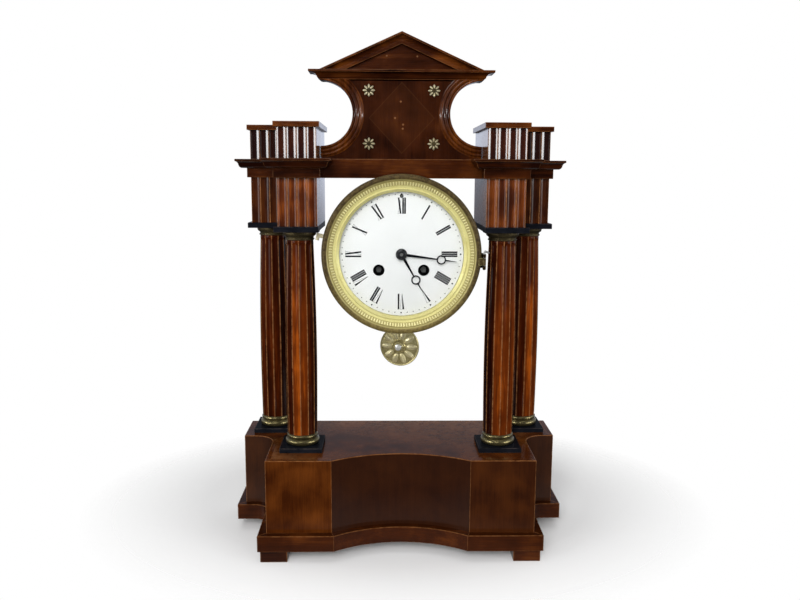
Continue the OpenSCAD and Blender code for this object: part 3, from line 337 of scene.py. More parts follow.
dialAt = {"x": 0.0, "z": 247.0}
bezelTone = {"edge": 59.7, "brass": (0.10, 0.068, 0.022), "brown": (0.022, 0.0125, 0.0035), "milled": 55.2,
             "hollow": (0.40, 0.345, 0.135), "olive": (0.26, 0.20, 0.065), "keptZ": (184.0, 232.0),
             "kept": 0.85, "seed": 5.0, "patch": (0.5, 3.0, 0.6), "hingeX": (62.3, 62.6)}


def dressBezel(bench, colour, stain):
    edge, milled = pick(bezelTone, "edge milled")
    x, y, z = bench.xyz()
    far = (x ** 2.0 + (z - dialAt["z"]) ** 2.0) ** 0.5
    colour = bench.mix(far.ramp(milled - 0.3, milled), colour, bezelTone["hollow"])
    patch = bench.noise(bench.spot(bezelTone["seed"]), *bezelTone["patch"]).ramp(0.40, 0.60)
    browned = bench.mix(stain * 0.4 + patch * 0.6, bezelTone["brass"], bezelTone["brown"])
    kept = (1.0 - z.ramp(*bezelTone["keptZ"])) * (1.0 - patch * 0.5) * bezelTone["kept"]
    browned = bench.mix(kept, browned, bezelTone["olive"])
    return bench.mix(far.ramp(edge - 0.4, edge + 0.4), colour, browned)


def dressDrum(bench, colour, stain):
    x, y, z = bench.xyz()
    return bench.mix(x.ramp(*bezelTone["hingeX"]), colour, bezelTone["brown"])   # the hinge is coloured dark brown


enamelTones = {"seed": 4.0, "low": (0.90, 0.90, 0.895), "high": (0.94, 0.94, 0.94),
               "craze": (0.45, 0.43, 0.40), "speck": (0.55, 0.52, 0.46), "inkSeed": 9.0,
               "inkLow": (0.004, 0.004, 0.006), "inkHigh": (0.014, 0.0135, 0.017)}
enamelNoise = {"cloud": (0.05, 3.0, 0.5), "speck": (1.4, 2.0, 0.6), "ink": (1.8, 3.0, 0.6), "cells": 0.06}


def whiteEnamel(name):
    bench = newBench(name)
    evenAt = bench.spot(enamelTones["seed"])
    cloud, speck = (bench.noise(evenAt, *row) for row in pick(enamelNoise, "cloud speck"))
    craze = bench.add("ShaderNodeTexVoronoi", {"feature": "DISTANCE_TO_EDGE"},
                      {"Vector": evenAt, "Scale": enamelNoise["cells"]})
    colour = bench.tint(cloud, [(0.3, enamelTones["low"]), (0.7, enamelTones["high"])])
    colour = bench.mix((1.0 - craze.ramp(0.002, 0.006)) * 0.10, colour, enamelTones["craze"])
    colour = bench.mix(speck.ramp(0.74, 0.80) * 0.25, colour, enamelTones["speck"])
    return bench.close(bench.surface({
        "Base Color": colour, "Roughness": cloud * 0.08 + 0.12, "IOR": 1.5,
        "Normal": bench.bump(cloud, 0.1, 0.0002), "Coat Weight": 0.3, "Coat Roughness": 0.04}))


def blackEnamel(name):
    bench = newBench(name)
    speck = bench.noise(bench.spot(enamelTones["inkSeed"]), *enamelNoise["ink"])
    colour = bench.tint(speck, [(0.35, enamelTones["inkLow"]), (0.75, enamelTones["inkHigh"])])
    return bench.close(bench.surface({
        "Base Color": colour, "Roughness": speck * 0.2 + 0.22, "Specular IOR Level": 0.15,
        "Normal": bench.bump(speck, 0.15, 0.0001)}))


glassTones = {"seed": 2.0, "gloss": (0.95, 0.97, 0.97), "clear": (0.985, 0.99, 0.988), "bend": 1.35,
              "smear": (0.06, 3.0, 0.6)}


def watchGlass(name):
    bench = newBench(name)
    smear = bench.noise(bench.spot(glassTones["seed"]), *glassTones["smear"])
    gloss = bench.surface({"Base Color": glassTones["gloss"], "Metallic": 1.0,
                           "Roughness": smear * 0.03 + 0.01})
    clear = bench.add("ShaderNodeBsdfTransparent", {}, {"Color": glassTones["clear"]})
    share = bench.add("ShaderNodeFresnel", {}, {"IOR": glassTones["bend"]})
    return bench.close(bench.add("ShaderNodeMixShader", {}, {0: share, 1: clear, 2: gloss}))


# grain, lean, figure, seed, worn, gloss, and for some the dress, vary and grime, the strength of the painted
# shade in hollows
woods = {
    "polishBase": ("z", 0.13, 0.75, 8.0, 0.5, 0.10, dressBase, 0.7),
    "polishPlinth": ("x", -0.02, 0.60, 17.0, 0.35, 0.06, None, 0.8),
    "polishFeet": ("x", 0.02, 0.30, 5.0, 0.5, 0.08),
    "polishColumn": ("z", -0.04, 0.25, 11.0, 1.0, 0.12, dressColumn, 1.1),
    "polishFrieze": ("z", 0.43, 0.50, 23.0, 1.0, 0.35, dressBlock("frieze_block_left", 0.35), 1.35, 0.45),
    "polishAttic": ("z", 0.10, 0.35, 27.0, 0.75, 0.55, dressBlock("attic_block_left")),
    "polishArchitrave": ("x", -0.03, 0.40, 31.0, 0.3, 0.1),
    "polishCornice": ("x", -0.12, 0.45, 29.0, 0.3, 0.15),
    "polishRake": ("x", 0.05, 0.45, 33.0, 0.4, 0.15),
    "polishCap": ("x", 0.14, 0.40, 37.0, 0.5, 0.1),
    "polishLintel": ("x", 0.04, 0.55, 41.0, 0.4, 0.1, None, 1.0),
    "polishPanel": ("z", -0.07, 0.65, 47.0, 0.4, 0.08, dressPanel, 0.9),
    "polishScroll": ("z", 0.15, 0.45, 53.0, 0.6, 0.3, None, 1.35, 1.0),
    "polishGable": ("x", -0.02, 0.5, 59.0, 0.4, 0.1, dressTympanum, 1.0),
}
# bright, dull and foul colours, roughness, seed, and for some the age, metal and dress, by slot
metals = {
    "lacquered_brass": {
      "ringBrass": ((0.19, 0.158, 0.07), (0.068, 0.055, 0.024), (0.02, 0.016, 0.007), 0.24, 13.0, 0.5, 0.85),
      "bezelBrass": ((0.68, 0.63, 0.27), (0.58, 0.52, 0.19), (0.27, 0.215, 0.075), 0.46, 61.0, 0.4, 0.25,
                     dressBezel),
      "toothBrass": ((0.71, 0.66, 0.33), (0.58, 0.52, 0.22), (0.31, 0.26, 0.12), 0.40, 62.0, 0.3, 0.3),
      "pullBrass": ((0.92, 0.85, 0.62), (0.52, 0.44, 0.25), (0.08, 0.055, 0.025), 0.26, 63.0, 0.5, 0.5),
      "drumBrass": ((0.34, 0.26, 0.11), (0.16, 0.115, 0.045), (0.06, 0.04, 0.02), 0.34, 67.0, 0.6, 0.85,
                    dressDrum),
      "bobGilt": ((0.95, 0.87, 0.54), (0.64, 0.56, 0.28), (0.16, 0.12, 0.05), 0.30, 71.0, 0.45, 0.55),
      "bobGroundGilt": ((0.66, 0.58, 0.29), (0.33, 0.275, 0.115), (0.07, 0.053, 0.02), 0.30, 71.0, 0.5, 0.6),
      "bossSilver": ((0.93, 0.93, 0.88), (0.76, 0.75, 0.66), (0.30, 0.27, 0.21), 0.28, 73.0, 0.35, 0.5)},
    "gilt_brass": {
      "capitalGilt": ((0.15, 0.115, 0.05), (0.05, 0.038, 0.018), (0.02, 0.016, 0.009), 0.36, 19.0, 0.7, 0.8),
      "rosetteGilt": ((0.70, 0.63, 0.42), (0.42, 0.35, 0.18), (0.08, 0.055, 0.025), 0.28, 43.0, 0.4, 0.55)},
    "plain_brass": {
      "movementBrass": ((0.66, 0.52, 0.23), (0.40, 0.30, 0.12), (0.12, 0.08, 0.03), 0.30, 79.0, 0.4, 0.9)},
    "bell_metal": {
      "bellMetal": ((0.62, 0.53, 0.34), (0.40, 0.33, 0.19), (0.14, 0.11, 0.06), 0.22, 89.0, 0.4)},
    "bright_steel": {
      "brightSteel": ((0.56, 0.55, 0.53), (0.34, 0.33, 0.31), (0.12, 0.09, 0.06), 0.28, 97.0, 0.4, 0.8)},
    "blued_steel": {
      "bluedSteel": ((0.01, 0.011, 0.016), (0.005, 0.005, 0.007), (0.008, 0.006, 0.005), 0.28, 101.0, 0.4,
                     0.8),
      "colletSteel": ((0.10, 0.10, 0.105), (0.04, 0.04, 0.042), (0.02, 0.017, 0.015), 0.20, 103.0, 0.4, 0.8)},
    "": {
      "winderSteel": ((0.22, 0.22, 0.215), (0.11, 0.11, 0.105), (0.04, 0.033, 0.025), 0.26, 107.0, 0.4, 0.7),
      # a near-black plate that stands in for the shade seen through the winding holes
      "darkPlate": ((0.012, 0.01, 0.008), (0.007, 0.006, 0.005), (0.003, 0.003, 0.002), 0.55, 83.0)},
}
finish, slotOf = {}, {}
for name, row in woods.items():
    finish[name], slotOf[name] = frenchPolish(name, *row), "mahogany"
for slotName, group in metals.items():
    for name, row in group.items():
        finish[name], slotOf[name] = agedMetal(name, *row), slotName
coatings = {"ebonisedSlab": (ebonised, "ebonised_wood"), "whiteEnamel": (whiteEnamel, "white_enamel"),
            "blackEnamel": (blackEnamel, "white_enamel"), "watchGlass": (watchGlass, "clear_glass")}
for name, (make, slotName) in coatings.items():
    finish[name], slotOf[name] = make(name), slotName
print("finishes made:", len(finish))


# mesh helpers, in millimetres until newPiece scales them
def softCorner(before, corner, after, steps=3):
    c, radius = Vector(corner[:2]), corner[2]
    d1, d2 = ((Vector(point[:2]) - c).normalized() for point in (before, after))
    reach = min(radius / math.tan(d1.angle(d2) / 2), radius * 1.5)
    a, b = c + d1 * reach, c + d2 * reach
    arc = [(1 - t) ** 2 * a + 2 * t * (1 - t) * c + t * t * b for t in fan(steps, 1.0)]
    lead = min(0.12, reach * 0.3)
    return [(*(a + d1 * lead), 0.0)] + [(*p, 1.0) for p in arc] + [(*(b + d2 * lead), 0.0)]


def roundPath(points, closed=False):
    path = []
    last = len(points) - 1
    for i, point in enumerate(points):
        if point[2] > 0 and (closed or 0 < i < last):
            path += softCorner(points[i - 1], point, points[0 if i == last else i + 1])
        else:
            path.append((point[0], point[1], 0.0))
    return path


def newMesh(source=None):
    bm = bmesh.new()
    if source:
        bm.from_mesh(source)
    bm.verts.layers.float.new("wear")
    bm.faces.layers.float.new("rub")
    return bm


def addLoops(bm, loops, ring=False, caps=(True, True)):
    wear = bm.verts.layers.float["wear"]
    rows = []
    for loop in loops:
        row = []
        for point in loop:
            vert = bm.verts.new(point[:3])
            vert[wear] = point[3] if len(point) > 3 else 0.0
            row.append(vert)
        rows.append(row)
    for a, b in zip(rows, rows[1:] + rows[:1] if ring else rows[1:]):
        for i in range(len(a)):
            j = (i + 1) % len(a)
            bm.faces.new((a[i], a[j], b[j], b[i]))
    for capped, row in zip(caps, (rows[0], rows[-1])):
        if capped and not ring:
            bm.faces.new(row)
    return rows


def fillBetween(bm, *rows):
    verts = [v for row in rows for v in row]
    for triple in tessellate_polygon([[v.co for v in row] for row in rows]):
        bm.faces.new([verts[i] for i in triple])


def moulded(bm, plan, profile, caps=(True, True)):
    loops = [[(x, y, z, v if v < 0 else max(w, v)) for x, y, v in plan(out)] for out, z, w in profile]
    return addLoops(bm, loops, False, caps)


def lathe(bm, profile, place, count=64, ring=True):
    turns = fan(count, fullTurn)[:-1]
    loops = []
    for radius, height, *worn in profile:
        loops.append([(*place(radius * math.cos(a), radius * math.sin(a), height), *worn) for a in turns])
    addLoops(bm, loops, ring)


def upright(x, y, z):
    return lambda u, v, h: (x + u, y + v, z + h)


def facing(x=dialAt["x"], z=dialAt["z"]):
    return lambda u, v, h: (x + u, h, z + v)


def clockwise(degrees):
    c, s = math.cos(math.radians(degrees)), math.sin(math.radians(degrees))
    return lambda u, v, h: (u * s + v * c, h, dialAt["z"] + u * c - v * s)


def addPrism(bm, outline, place, low, high):
    addLoops(bm, [[place(u, v, h) for u, v in outline] for h in (low, high)])


def addBox(bm, low, high):
    (x0, y0, z0), (x1, y1, z1) = low, high
    addPrism(bm, [(x0, y0), (x1, y0), (x1, y1), (x0, y1)], upright(0.0, 0.0, 0.0), z0, z1)


def bead(radius, height, r, start, stop, steps=8):
    turns = [math.radians(degrees) for degrees in fan(steps, stop, start)]
    return [(radius + r * math.cos(a), height + r * math.sin(a)) for a in turns]


def softEdges(bm, width, segments=3, angle=30.0):
    bmesh.ops.recalc_face_normals(bm, faces=bm.faces)
    limit = math.radians(angle)
    sharp = [e for e in bm.edges if len(e.link_faces) == 2 and e.calc_face_angle() > limit]
    made = bmesh.ops.bevel(bm, geom=sharp, offset=width, offset_type="OFFSET", segments=segments,
                           profile=0.5, affect="EDGES", clamp_overlap=True)
    rub = bm.faces.layers.float["rub"]
    for face in made["faces"]:
        face[rub] = 1.0


def show(name, data):
    holder = bpy.data.objects.new(name, data)
    scene.collection.objects.link(holder)
    return holder


# a piece takes its name and its body from the node it stands for, where neither is given
def settle(node, mesh, material, name, body=None, sharp=32.0):
    mesh.materials.clear()
    mesh.materials.append(finish[material])
    mesh.polygons.foreach_set("use_smooth", [True] * len(mesh.polygons))
    mesh.set_sharp_from_angle(angle=math.radians(sharp))
    piece = show(name, mesh)
    even = piece.modifiers.new("evenShading", "WEIGHTED_NORMAL")
    even.keep_sharp = True
    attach(piece, body or bodyOf.get(node, "case"))
    if node:
        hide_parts(node)


def bake(node, bm, material, name=None, *rest, **more):
    name = name or camel(node)
    mesh = bpy.data.meshes.new(name)
    bm.to_mesh(mesh)
    bm.free()
    settle(node, mesh, material, name, *rest, **more)


def newPiece(node, bm, *rest, **more):
    bmesh.ops.scale(bm, vec=(mm, mm, mm), verts=bm.verts)
    bmesh.ops.remove_doubles(bm, verts=bm.verts, dist=1e-7)
    bmesh.ops.recalc_face_normals(bm, faces=bm.faces)
    bake(node, bm, *rest, **more)


def looped(node, loops, *rest, **more):
    bm = newMesh()
    addLoops(bm, loops)
    newPiece(node, bm, *rest, **more)


def mouldedPiece(node, plan, profile, *rest, **more):
    bm = newMesh()
    moulded(bm, plan, profile)
    newPiece(node, bm, *rest, **more)


def turned(node, profile, place, count, ring, *rest, **more):
    bm = newMesh()
    lathe(bm, profile, place, count, ring)
    newPiece(node, bm, *rest, **more)


def cadCopy(node, width, *rest):
    bm = newMesh(cadNodes[node].data)
    bmesh.ops.remove_doubles(bm, verts=bm.verts, dist=2e-6)
    bmesh.ops.dissolve_limit(bm, angle_limit=math.radians(0.6), verts=bm.verts, edges=bm.edges)
    softEdges(bm, width * mm, 2, 35.0)
    bake(node, bm, *rest)


def growPiece(name, wireUp, lengths, others, material, node=None, **more):
    inputs = {label: tuple(v * mm for v in size) if isinstance(size, tuple) else size * mm
              for label, size in lengths.items()}
    inputs.update(others)
    tree = bpy.data.node_groups.new(name + "Nodes", "GeometryNodeTree")
    bench = Bench(tree)
    kinds = {int: "Int", float: "Float", tuple: "Vector"}
    sockets = {label: kinds[type(value)] for label, value in inputs.items()}
    sockets["Finish"] = "Material"
    ids = {}
    for label, kind in sockets.items():
        made = tree.interface.new_socket(label, in_out="INPUT", socket_type="NodeSocket" + kind)
        ids[label] = made.identifier
    tree.interface.new_socket("Mesh", in_out="OUTPUT", socket_type="NodeSocketGeometry")
    gate = tree.nodes.new("NodeGroupInput")
    wires = {label: Wire(bench, gate.outputs[label]) for label in ids}
    real = bench.geo("RealizeInstances", {"Geometry": wireUp(bench, wires)})
    dressed = bench.geo("SetMaterial", {"Geometry": real, "Material": wires["Finish"]})
    tree.links.new(dressed.socket, tree.nodes.new("NodeGroupOutput").inputs[0])
    holder = show(name + "Holder", bpy.data.meshes.new(name + "Holder"))
    grow = holder.modifiers.new("grow", "NODES")
    grow.node_group = tree
    inputs["Finish"] = finish[material]
    for label, value in inputs.items():
        grow[ids[label]] = value
    graph = bpy.context.evaluated_depsgraph_get()
    mesh = bpy.data.meshes.new_from_object(holder.evaluated_get(graph), preserve_all_data_layers=True,
                                           depsgraph=graph)
    mesh.name = name
    holder.modifiers.clear()
    bpy.data.objects.remove(holder)
    settle(node, mesh, material, name, **more)


def ringOf(bench, count, radius, item):
    x, y, z = bench.split(bench.geo("InputPosition"))
    track = bench.geo("MeshCircle", {"Vertices": count, "Radius": radius})
    return bench.geo("InstanceOnPoints", {"Points": track, "Instance": item,
                                          "Rotation": bench.join(z=y.calc("ARCTAN2", x))})


def faceFront(bench, ins, geometry, turn=0.0):
    return bench.geo("Transform", {"Geometry": geometry, "Translation": ins["Place"],
                                   "Rotation": (quarterTurn, 0.0, turn)})


def joined(bench, *parts):
    join = bench.tree.nodes.new("GeometryNodeJoinGeometry")
    for part in parts:
        bench.tree.links.new(part.socket, join.inputs[0])
    return Wire(bench, join.outputs[0])


# feet: a front pair and a rear pair
feet = {"side": 22.0, "places": [(91.6, -53.7), (118.1, 31.7)], "edge": 0.6}


def makeFeet():
    bm = newMesh()
    size = feet["side"]
    low, high = tier["feet"]
    for x, y in feet["places"]:
        for side in (x, -x - size):
            addBox(bm, (side, y, low), (side + size, y + size, high))
    softEdges(bm, feet["edge"])
    newPiece("feet", bm, "polishFeet", "footBlocks")


# base: one plan that grows outwards, shared by the plinth and the body
base = {"frontHalf": 109.0, "rearHalf": 135.5, "faceY": -49.1, "stepY": 13.4, "backY": 55.7, "coveR": 17.0,
        "bayHalf": 56.0, "bayDepth": 17.0, "wall": 9.0, "plinthOut": 6.6, "edge": 0.55,
        "coveSteps": 20, "baySteps": 40, "topInset": 4.0}
base["bayR"] = (base["bayHalf"] ** 2 + base["bayDepth"] ** 2) / (2 * base["bayDepth"])
base["bayY"] = base["faceY"] + base["bayDepth"] - base["bayR"]


def bayArc(radius, front, edge):
    middle = base["bayY"]
    reach = math.sqrt(radius ** 2 - (front - middle) ** 2)
    half = math.asin(reach / radius)
    turns = fan(base["baySteps"], half, -half)
    arc = [(radius * math.sin(a), middle + radius * math.cos(a), 0.0) for a in turns]
    return [(-reach, front, edge)] + arc[1:-1] + [(reach, front, edge)]


def basePlan(out):
    edge, cove, step = pick(base, "edge coveR stepY")
    front = base["faceY"] - out
    x1, x2 = base["frontHalf"], base["rearHalf"] + out
    right = [(x1 + out, front, edge)]
    for a in fan(base["coveSteps"], quarterTurn, math.pi):
        right.append((x1 + cove + (cove - out) * math.cos(a), step - cove + (cove - out) * math.sin(a), 0.0))
    right += [(x2, step - out, edge), (x2, base["backY"], edge)]
    left = [(-x, y, r) for x, y, r in reversed(right)]
    return roundPath(bayArc(base["bayR"] - out, front, edge) + right + left, True)


def hollowPlan(z):
    wall = base["wall"]
    front, step, back = base["faceY"] + wall, base["stepY"] + wall, base["backY"] - wall
    x1, x2 = base["frontHalf"] - wall, base["rearHalf"] - wall
    right = [(x1, front, z), (x1, step, z), (x2, step, z), (x2, back, z)]
    arc = [(x, y, z) for x, y, r in bayArc(base["bayR"] + wall, front, 0.0)]
    return arc + right + [(-x, y, z) for x, y, z in reversed(right)]


def makeBase():
    edge, out = base["edge"], base["plinthOut"]
    low, high = tier["base_plinth"]
    bm = newMesh()
    profile = roundPath([(out - 2, low, 0.0), (out, low, edge * 0.6), (out, high, edge), (1.0, high, 0.0)])
    outer = moulded(bm, basePlan, profile, (False, False))
    inner = addLoops(bm, [hollowPlan(low), hollowPlan(high)], False, (False, False))
    for i in (0, -1):
        fillBetween(bm, outer[i], inner[i])
    newPiece("base_plinth", bm, "polishPlinth", "lowerPlinth")
    low, high = tier["base_body"]
    bm = newMesh()
    profile = roundPath([(0.0, low, 0.0), (0.0, high, edge), (-base["topInset"], high, 0.0)])
    outer = moulded(bm, basePlan, profile, (False, True))
    inner = addLoops(bm, [hollowPlan(low), hollowPlan(high - base["wall"])], False, (False, True))
    fillBetween(bm, outer[0], inner[0])
    newPiece("base_body", bm, "polishBase")


# columns: black plinths, brass rings, fluted shafts and capitals; each place has x, y, tone and seed, the
# tone being partly the wood's own and partly painted shade, darkest on the rear left column
column = {"places": {"front_left": (-82.0, -13.8, -0.15, 49), "front_right": (82.0, -13.8, -0.14, 53),
                     "rear_left": (-110.6, 38.1, -0.34, 52), "rear_right": (110.6, 38.1, -0.09, 17)},
          "plinthHalf": 17.6, "plinthEdge": 0.5, "bore": 4.05, "ringR": 14.2, "upperR": 12.9, "seatR": 11.0,
          "waist": [(11.9, 5.5), (11.75, 5.7), (12.0, 5.75)], "neckRing": (11.05, 0.85, 0.75, -80, 80, 6),
          "neck": [(11.1, 1.75), (11.15, 2.5)], "bell": (11.15, 5.4, 2.15, -75, 0), "topR": 13.4,
          "footR": 12.3, "neckR": 10.9, "swell": 1.2, "flutes": 12, "fluteDepth": 1.15, "fluteEnd": 3.0,
          "fluteGap": 1.6, "around": 16, "levels": 72, "crowd": 0.85, "bleach": -0.40, "chance": 0.18,
          "inner": 0.15}


def onColumns(node, profile, material):
    bm = newMesh()
    for x, y, tone, seed in column["places"].values():
        lathe(bm, profile, upright(x, y, tier[node][0]))
    newPiece(node, bm, material)


def makeColumnFittings():
    half, bore, ringR, topR = pick(column, "plinthHalf bore ringR topR")
    low, high = tier["column_plinths"]
    bm = newMesh()
    for x, y, tone, seed in column["places"].values():
        addBox(bm, (x - half, y - half, low), (x + half, min(y + half, base["backY"]), high))
    softEdges(bm, column["plinthEdge"])
    newPiece("column_plinths", bm, "ebonisedSlab")
    low, high = tier["column_base_rings"]
    tall = high - low
    lower, upper = tall * 0.3, tall * 0.2
    profile = [(bore, 0.0), (ringR - lower, 0.0)] + bead(ringR - lower, lower, lower, -85, 70)
    profile += column["waist"] + bead(column["upperR"] - upper, tall - upper, upper, -60, 85)
    profile += [(column["seatR"], tall), (bore, tall)]
    onColumns("column_base_rings", profile, "ringBrass")
    low, high = tier["capital_rings"]
    tall = high - low
    profile = [(bore, 0.0), (column["neckR"], 0.0)] + bead(*column["neckRing"]) + column["neck"]
    profile += bead(*column["bell"]) + [(topR, 5.5), (topR, tall - 0.3), (topR - 0.3, tall), (bore, tall)]
    onColumns("capital_rings", profile, "capitalGilt")


def wireShaft(bench, ins):
    flutes = column["flutes"]
    tube = bench.geo("MeshCylinder", {"Vertices": flutes * column["around"], "Radius": 0.01, "Depth": 1.0,
                                      "Side Segments": column["levels"]})
    x, y, z = bench.split(bench.geo("InputPosition"))
    share = z + 0.5
    crowd = (share * fullTurn).calc("SINE") * (column["crowd"] / fullTurn)
    share = share - crowd   # closer levels at the ends
    angle = y.calc("ARCTAN2", x)
    front, side = angle.calc("SINE"), angle.calc("COSINE")
    across = ((angle * (flutes / fullTurn)).calc("FRACT") - 0.5).calc("ABSOLUTE") * 2.0
    height = share * ins["Height"]
    plain = ins["Foot radius"] + (ins["Neck radius"] - ins["Foot radius"]) * share
    plain = plain + (share * math.pi).calc("SINE") * ins["Swelling"]
    toEnd = ins["Height"] - height - ins["End gap"]   # the flutes run down into the brass ring
    fade = ((ins["End round"] - toEnd) / ins["End round"]).inside()
    width = (1.0 - fade * fade) ** 0.5
    scoop = (across / (width * 0.93 + 0.0001)).calc("MINIMUM", 1.0)
    radius = plain - (1.0 - scoop * scoop) ** 0.7 * width ** 0.5 * ins["Flute depth"]
    place = bench.join(side * radius, front * radius, height)
    shaft = bench.geo("SetPosition", {"Geometry": tube, "Position": place})
    which = (angle * (flutes / fullTurn) + 20.0).calc("FLOOR")
    chance = bench.add("FunctionNodeRandomValue", {"data_type": "FLOAT"},
                       {2: -1.0, 3: 1.0, "ID": which, "Seed": ins["Seed"]}, 1)
    toneAndLight = front * column["bleach"] + chance * column["chance"] + ins["Tone"]   # painted light: flutes facing the front are lighter; the random part is the wood's own tone
    toneAndLight = toneAndLight + (side * ins["Inner side"]).calc("MINIMUM", 0.0)   # painted shade: the inner sides are darker
    for label, value in (("wear", across.ramp(0.80, 1.0)), ("stave", toneAndLight)):
        shaft = bench.geo("StoreNamedAttribute", {"Geometry": shaft, "Name": label, "Value": value})
    return bench.geo("Transform", {"Geometry": shaft, "Translation": ins["Place"]})


def makeShafts():
    low, high = tier["column_base_rings"][1], tier["capital_rings"][0]
    labels = ("Foot radius", "Neck radius", "Swelling", "Flute depth", "End round", "End gap")
    lengths = dict(zip(labels, pick(column, "footR neckR swell fluteDepth fluteEnd fluteGap")))
    lengths["Height"] = high - low
    for name, (x, y, tone, seed) in column["places"].items():
        lengths["Place"] = (x, y, low)
        others = {"Seed": seed, "Tone": tone, "Inner side": math.copysign(column["inner"], x)}
        title = camel("shaft_" + name)
        growPiece(title, wireShaft, lengths, others, "polishColumn", "column_" + name, sharp=40.0)


# entablature: L-shaped pieces over the columns, made on the right and mirrored
block = {"innerX": 66.5, "frontX": 97.5, "rearX": 126.1, "frontY": -29.3, "rearY": 22.6, "backY": 55.7,
         "lintelY": -17.1, "flutes": 4, "pitch": 7.75, "fluteDepth": 1.5, "arris": 0.28, "fluteSteps": 12,
         "edge": 0.35, "slabInset": -2.0, "abacusOut": 3.2, "abacusIn": 1.0, "architraveOut": 2.8,
         "capOut": 2.4, "corniceOut": 11.5, "corniceFillet": 1.9, "soffit": 4.0, "corniceEdge": 0.3,
         "sag": 0.10, "lintelEdge": 0.45}


def ellPlan(side, out, inner, cut):
    inX, back, lintel, edge = pick(block, "innerX backY lintelY edge")
    x0, x1, x2 = inX - inner, block["frontX"] + out, block["rearX"] + out
    front, step = block["frontY"] - out, block["rearY"] - out
    points = [(x0, front, edge), (x1, front, edge), (x1, step, 0.0), (x2, step, edge), (x2, back, edge)]
    points += [(inX, back, edge), (inX, lintel, 0.0), (x0, lintel, 0.0)] if cut else [(x0, back, edge)]
    return roundPath([(side * x, y, r) for x, y, r in points], True)


def fluteRun(x0, x1, y, first):
    pitch, deep, steps = pick(block, "pitch fluteDepth fluteSteps")
    half = pitch / 2 - block["arris"]
    points = []
    for i in range(block["flutes"]):
        middle = first + i * pitch + pitch / 2
        for k in range(steps + 1):
            u = math.sin(quarterTurn * (2 * k / steps - 1))   # closer steps at the arrises
            x, sunk = middle + half * u, (1 - u * u) ** 0.75
            if x0 <= x <= x1:
                # the mark is one at the arrises and below nought in the hollows, where painted shade darkens
                # the wood
                points.append((x, y + deep * sunk, 1.0 if k in (0, steps) else -sunk))
    return points


def flutedPlan(side):
    x0, x1, x2, y1, y2, back = pick(block, "innerX frontX rearX frontY rearY backY")
    points = [(x0, y1, 1.0)] + fluteRun(x0, x1, y1, x0) + [(x1, y1, 1.0), (x1, y2 + 0.5, 0.0)]
    points += fluteRun(x1 + 0.3, x2, y2, x2 - block["flutes"] * block["pitch"])
    points += [(x2, y2, 1.0), (x2, back, 0.0), (x0, back, 0.0)]
    return [(side * x, y, w) for x, y, w in points]


def corniceRows(low, high):
    start, out, soffit, edge = pick(block, "architraveOut corniceOut soffit corniceEdge")
    foot = high - block["corniceFillet"]
    reach = out - 0.5 - start - soffit
    points = [(start, low, 0.0), (start + soffit, low, edge)]
    for share in fan(8, 1.0)[1:]:
        sag = block["sag"] * math.sin(fullTurn * share)   # a slight double curve
        rise = (foot - low) * (share - sag * 0.5)
        points.append((start + soffit + reach * (share + sag), low + rise, 0.0))
    return roundPath(points + [(out, foot, edge), (out, high, edge), (start, high, 0.0)])


def makeEntablature():
    edge, inset, over, cap = pick(block, "edge slabInset architraveOut capOut")
    slabs = (("abacus_", block["abacusOut"], block["abacusIn"], "ebonisedSlab", True),
             ("architrave_", over, over, "polishArchitrave", True),
             ("attic_cap_", cap, cap, "polishCap", False))
    for side, hand in ((-1, "left"), (1, "right")):
        for name, out, inner, material, cut in slabs:
            low, high = tier[name + hand]
            rows = roundPath([(inset, low, 0.0), (0.0, low, edge), (0.0, high, edge), (inset, high, 0.0)])
            levels = [((out + d, max(inner + d * 0.25, 0.2)), z, w) for d, z, w in rows]
            mouldedPiece(name + hand, lambda pair: ellPlan(side, *pair, cut), levels, material)
        for name, material in (("frieze_block_", "polishFrieze"), ("attic_block_", "polishAttic")):
            levels = [(0.0, z, 0.0) for z in tier[name + hand]]
            mouldedPiece(name + hand, lambda out: flutedPlan(side), levels, material, sharp=38.0)
        levels = [((out, out), z, w) for out, z, w in corniceRows(*tier["cornice_" + hand])]
        mouldedPiece("cornice_" + hand, lambda pair: ellPlan(side, *pair, True), levels, "polishCornice")


def makeLintel():
    bm = newMesh()
    addBox(bm, *boxMm("lintel"))
    softEdges(bm, block["lintelEdge"])
    newPiece("lintel", bm, "polishLintel")


# pediment: panel with two bites, scroll mouldings, cornice and gable
pediment = {"half": 66.0, "frontY": 7.9, "backY": 19.9, "biteR": 26.2, "biteZ": 359.4, "biteSteps": 48,
            "scrollW": 9.4, "scrollOut": 2.6, "innerBead": (3.75, 1.6), "outerBead": (6.9, 1.35),
            "corniceFoot": 1.0, "corniceOut": 9.0, "ovoloR": 1.6, "coveRise": 2.7, "rise": 29.5, "rake": 9.0,
            "edge": 0.4, "corniceEdge": 0.3, "fillet": 0.7, "ovoloZ": 2.3, "coveAt": (1.9, 2.4),
            "coveShort": 2.5, "coronaZ": 5.2, "rakeFillet": 1.7, "hollowAt": (1.8, 0.7), "hollow": (3.4, 4.0),
            "rakeStep": (5.3, 8.8, 4.9)}


def panelOutline(inset):
    low, high = tier["pediment_panel"]
    edge, r = pediment["half"] - inset, pediment["biteR"] + inset
    right = [(edge, low + inset)]
    for a in fan(pediment["biteSteps"], -1.5 * math.pi, -quarterTurn):
        right.append((edge + r * math.cos(a), pediment["biteZ"] + r * math.sin(a)))
    right[-1] = (right[-1][0], min(right[-1][1], high - inset))
    right.append((edge, high - inset))
    return right + [(-x, z) for x, z in reversed(right)]


